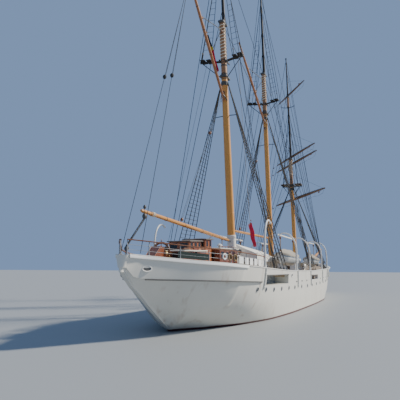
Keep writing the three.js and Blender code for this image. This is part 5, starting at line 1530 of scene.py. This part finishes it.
def davit(x, way):
    """The curve of one davit from the rail to its head, 4 m up and 1.85 m out along the way, and its parts: a
    tube, thinner at the head, with a foot collar, a ball and a cleat."""
    out_by, up_by = np.array([(0, 0), (0, 0.5), (0.12, 0.78), (0.4, 0.95), (0.75, 1), (1, 0.95)]).T[..., None]
    foot = on_rail(x)
    points = foot + out_by * 1.85 * way + (0.3 + up_by * 3.7) * [0, 0, 1]
    path = smoothed(np.concatenate([[foot], points]), 29)
    taper = 0.085 * np.interp(np.linspace(0, 1, 29), [0, 0.35, 0.95, 1], [1, 1, 0.72, 0.5])
    head, cleat = path[-1], foot + [0, 0, 1.1]
    return path, [
        tube(path, taper, 14),
        turned(foot - [0, 0, 0.02], foot + [0, 0, 0.3], [(0, 0.15), (0.3, 0.15), (0.4, 0.12), (1, 0.1)]),
        turned(head - [0, 0, 0.09], head + [0, 0, 0.13], [
            (0, 0.02), (0.2, 0.09), (0.5, 0.11), (0.8, 0.09), (1, 0.02)], 12),
        turned(cleat - [0.18, 0, 0], cleat + [0.18, 0, 0], [
            (0, 0.015), (0.3, 0.03), (0.7, 0.03), (1, 0.015)], 8)]


white_boat = painted("boat_white", (0.70, 0.70, 0.66), streaks=0.35, fading=0.3, roughness=0.4,
                     slot="white_paint")
boat_canvas = painted("boat_canvas", (0.33, 0.29, 0.23), fading=0.5, roughness=0.9, bump=0.6)
boat_blue = painted("boat_blue", (0.05, 0.12, 0.25), streaks=0.2, fading=0.3, roughness=0.5,
                    slot="boat_canvas")

# Each davit's heel runs on down the outside of the plating to a step, held by two brackets.
heels = []
for x in (-20.7, -8.85, -1.1, 8.3, 13.8):
    z = np.linspace(line("rail", x) + 0.1, line("rail", x) - 1.7, 9)
    heel = xyz(x, edge(x, z, 0) + 0.06, z)
    brackets = heel[[2, 7]]
    heels += [tube(heel, [0.06] * 8 + [0.03], 12),
              blocks(brackets - [0.11, 0.08, 0.05], brackets + [0.11, 0.08, 0.05], 0.02)]
build("davit_heels", both(*heels), white_paint)
pair("quarter_davit_tube", davit(-20.7, np.array([1.0, 0, 0]))[1], white_paint, "quarter_davit")

# Columns of the boat's lines: part of the half length, half width, height of the keel and of the gunwale.
part = np.sin(np.linspace(-0.5, 0.5, 33) * np.pi)
lines = np.array([[-1, 0.15, 0.35, 1.35], [-0.7, 0.85, 0.05, 1.15], [0, 1.1, 0, 1.05], [0.7, 0.8, 0.05, 1.2],
                  [1, 0.1, 0.45, 1.5]])
width, keel, top = faired(part, np.broadcast_to(lines[:, 0], (3, 5)), lines[:, 1:].T)[..., None]
part = part[:, None]
# Nine strakes a side overlap like slates: each section steps out at every lower edge.
girth = np.array([(0.1, 0.0), (0.7, 0.28), (0.93, 0.56), (1.0, 0.75), (0.98, 1.0)])
s = np.repeat(np.linspace(0, 1, 10), 2)[1:-1]
across, up = (np.interp(s, np.linspace(0, 1, 5), column) for column in girth.T)
side_y = across * width + np.tile([0.022, 0.0], 9) - 0.022
side_z = keel + up * (top - keel)
# The cover: from one gunwale over the ridge to the other, sagging between the stretchers.
share = np.linspace(-1, 1, 29)
over = np.abs(share) * 1.12
reach, drop = np.sign(share) * np.minimum(over, 1), np.maximum(over - 1, 0) * 1.6
ridge = 0.7 * (1 - np.abs(reach)) ** 1.1 * (1 - np.abs(part) ** 4)
sag = 0.05 * np.sin(np.abs(reach) * np.pi) * (0.6 + 0.4 * np.cos(part * 5 * np.pi))
scallop = 0.035 * np.cos(part * 16 * np.pi) * (drop > 0.12)
for name, aft, fore in (("main", -8.85, -1.1), ("fore", 8.3, 13.8)):
    inboard = np.array([0, -1.0, 0])
    (aft_path, aft_parts), (fore_path, fore_parts) = davit(aft, inboard), davit(fore, inboard)
    a, b = aft_path[-1], fore_path[-1]
    spar = turned(a - (b - a) * 0.05, b + (b - a) * 0.05, [
        (0, 0.04), (0.01, 0.06), (0.5, 0.072), (0.99, 0.06), (1, 0.04)], 14)
    lifeline = rod(a + [0, 0, 0.1], b + [0, 0, 0.1], 0.012, 6)
    pair(f"{name}_davit_tubes", [*aft_parts, *fore_parts, spar, lifeline], white_paint, f"{name}_davits")

    middle = (a + b) / 2 * [1, 1, 0] + [0, 0, 4.75]
    half = (fore - aft) / 2 - 0.25
    sides = [middle + xyz(part * half, way * side_y, side_z) for way in (1, -1)]
    keel_bar = moulding(middle + xyz(part * half, 0, keel - 0.02)[:, 0], rounded(0.07, 0.1))
    shell = lofted(np.concatenate([sides[0], sides[1][:, ::-1]], 1))
    hulls = pair(f"{name}_boat_hull", [shell, keel_bar], white_boat, f"{name}_boat")
    trim = [tube(side[:, row], thick) for side in sides for row, thick in ((-1, 0.04), (-5, 0.03))]
    pair(f"{name}_boat_trim", trim, boat_blue)

    cover_z = top + 0.05 + ridge - sag - drop - scallop
    cover = middle + xyz(part * half * 1.012, reach * (width + 0.05), cover_z)
    covers = pair(f"{name}_boat_cover", [cover[:, ::-1]], boat_canvas)
    for sheet, hull in zip(covers, hulls):
        lengths(cover, np.max)

    ropes, shells, irons = [], [], []
    for place in (0.08, 0.92):
        head = a + (b - a) * place - [0, 0, 0.12]
        hook = head * [1, 1, 0] + [0, 0, 6.25]
        lanes = np.array([(x, y, 0) for x in (-0.05, 0.05) for y in (-0.03, 0.03)])
        ropes.append(rod(hook + [0, 0, 0.1] + lanes, head - [0, 0, 0.1] + lanes, 0.014, 6))
        shells.append(pulleys([hook + [0, 0, 0.1], head - [0, 0, 0.14]], (0, 0, 1), 0.34))
        irons.append(rod(hook - [0, 0, 0.75], hook, 0.025))
    # Gripes cross the boat's side from each davit to the rail.
    for path in (aft_path, fore_path):
        irons.append(rod(path[0] + [0.1, -0.1, 0.2], path[12] - [0, 0.05, 0], 0.016, 6))
    pair(f"{name}_boat_falls", ropes, manila)
    pair(f"{name}_boat_blocks", shells, teak_varnish)
    pair(f"{name}_boat_irons", irons, grey_steel)


# Awning
# A white canvas awning is stretched over a ridge rope between two posts, its edges laced to side ropes and
# held out by three wooden spreaders. Curtains hang from its edges, with a round vent in the after one.
awning_cloth = painted("awning_cloth", (0.80, 0.79, 0.74), streaks=0.15, fading=0.3, roughness=0.85, bump=0.4,
                       slot="boat_canvas")
aft, fore = -13.3, -3.4
x, share = np.linspace(aft, fore, 45)[:, None], np.linspace(-1, 1, 33)
along, beside = (x - aft) / (fore - aft), np.abs(share)
ridge = 6.84 + along * (6.41 - 6.84)
fall = np.interp(beside * 2.2, [0, 0.5, 1.1, 1.7, 2.2], [0, 0.26, 0.53, 0.76, 1.0])
billow = 0.05 * np.abs(np.sin(along * 3 * np.pi)) * np.sin(beside * np.pi)
pulled = 0.06 * np.abs(np.sin(along * 12 * np.pi)) * (beside > 0.93)
canopy = xyz(x, share * 2.2, ridge - fall - billow + pulled)
awning = build("awning_canvas", [canopy[:, ::-1]], awning_cloth, stands_for="awning")
lacing = canopy[4::4, [0, -1]].reshape(-1, 3)
edging = build("awning_ropes", [
    tube(canopy[:, [0, -1]].swapaxes(0, 1), 0.018, 6), tube(canopy[:, 16] - [0, 0, 0.03], 0.02, 6),
    rod(lacing, lacing - [0, 0, 0.35], 0.009, 5)], manila)
posts = build("awning_posts", [
    tube(canopy[[0, 22, 44]] - [0, 0, 0.045], 0.025),
    turned((-13.2, 0, 2.95), (-13.2, 0, 6.9), [(0, 0.09), (0.03, 0.06), (0.97, 0.055), (1, 0.03)], 14),
    turned((-3.6, 0, 5.1), (-3.6, 0, 6.5), [(0, 0.09), (0.06, 0.06), (0.95, 0.055), (1, 0.03)], 14)],
    teak_varnish)
flat = lengths(canopy)

down = np.linspace(0, 1, 13)
hem = np.interp(x, [-13.3, -10.9, -10.6, -3.4], [1.05, 0.95, 0.62, 0.36])
wave = xyz(0, 0.03 * np.sin(along * 14 * np.pi) * down, -0.02 - hem * down)
for side_name, curtain in (("port", (canopy[:, -1:] + [0, 0.04, 0] + wave)[:, ::-1]),
                           ("starboard", canopy[:, :1] - [0, 0.04, 0] + wave)):
    sheet = build(f"awning_curtain_{side_name}", [curtain], awning_cloth)
down = np.linspace(0, 1, 15)[:, None]
closing = canopy[0] + xyz(0.035 * np.sin(share * 16) * down - 0.05, 0,
                          (5.35 + 0.05 * np.sin(share * 9) - canopy[0, :, 2]) * down)
sheet = build("awning_end_curtain", [closing], awning_cloth)
vent = np.array([-13.42, -0.5, 6.05])
build("curtain_vent", [hoops(vent, AHEAD, 0.17, 0.03),
                       rod(vent + [0.012, 0, 0], vent - [0.012, 0, 0], 0.16, 24)],
      black_iron)


# Rudder
# A double-plated steel rudder with flat bars across it hangs on a round stock behind the propeller. It is
# painted like the bottom, with two sacrificial zinc bars a side.
underwater = painted("bottom_paint", (0.17, 0.035, 0.028), streaks=0.6, fading=0.4, roughness=0.6,
                     slot="underwater_paint")
zinc = painted("zinc", (0.35, 0.36, 0.36), streaks=0.4, roughness=0.7, slot="windlass_iron")
z = np.array([-4.25, -4.22, -3.9, -3.2, -2.6, -2.0, -1.4, -0.85, -0.78, -0.75])[:, None]
back = np.interp(z, [-4.25, -2.6, -0.85, -0.75], [-1.75, -2.05, -1.6, -1.6])
inset = np.array([0.06, 0, 0, 0, 0, 0, 0, 0, 0, 0.05])[:, None]
nose = 0.16
spin = np.linspace(0, 2 * np.pi, 28, endpoint=False)
chord = (1 - np.cos(spin)) / 2
foil = np.sqrt(chord) * (1 - chord) * 0.26 + 0.02 * (chord > 0.02) * (chord < 0.98)
foil = np.clip(foil, 0, 0.1) * np.where(spin < np.pi, 1, -1)
blade = xyz(-26.2 + nose - inset - chord * (nose - back - 2 * inset), foil * np.where(inset > 0, 0.6, 1), z)
bars = [blocks((-27.6, -0.112, z - 0.05), (-26.3, 0.112, z + 0.05), 0.01) for z in (-3.6, -2.5, -1.4)]
stock = rod((-26.2, 0, -4.2), (-26.2, 0, 0.4), 0.128, 24)
build("rudder_plates", [lofted(blade), stock, *bars], underwater, "rudder_blade", "rudder")
zincs = [blocks((-27.3, 0.085, z - 0.07), (-26.8, 0.135, z + 0.07), 0.02) for z in (-3.1, -2.0)]
build("rudder_zincs", both(*zincs), zinc, "rudder_blade")
build("rudder_heel", [blocks((-26.75, -0.17, -4.5), (-24.5, 0.17, -4.26), 0.04)], underwater)


# Propeller
# Four bronze blades on a boss with a fairing cone. Each blade's pitch angle falls towards its tip.
bronze = painted("bronze", (0.42, 0.27, 0.10), streaks=0.5, roughness=0.35, stain=(0.08, 0.16, 0.11, 1),
                 Metallic=0.9,
                 slot="propeller_bronze")
radial = np.linspace(0.14, 0.95, 17)[:, None]
chord = 0.05 + 0.42 * np.sqrt(np.clip(1 - ((radial - 0.56) / 0.4) ** 2, 0.0, 1))
chord[0] = 0.2
pitch = np.arctan(0.56 * np.tan(0.6) / radial)
thick = np.interp(radial, [0.14, 0.95], [0.055, 0.012])
spin = np.linspace(0, 2 * np.pi, 18, endpoint=False)
along, out = np.cos(spin) * chord / 2, np.sin(spin) * thick / 2
tangent = along * np.cos(pitch) + out * np.sin(pitch)
parts = [turned((-24.9026, 0, -2.9), (-25.75, 0, -2.9), [
    (0, 0.19), (0.02, 0.2), (0.5, 0.2), (0.75, 0.16), (0.9, 0.1), (1, 0.02)], 28)]
for turn in np.arange(4) * np.pi / 2:
    parts.append(lofted(xyz(-25.4 + along * np.sin(pitch) - out * np.cos(pitch),
                            radial * np.cos(turn) - tangent * np.sin(turn),
                            -2.9 + radial * np.sin(turn) + tangent * np.cos(turn))))
build("propeller_blades", parts, bronze, "screw", "propeller")


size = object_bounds()
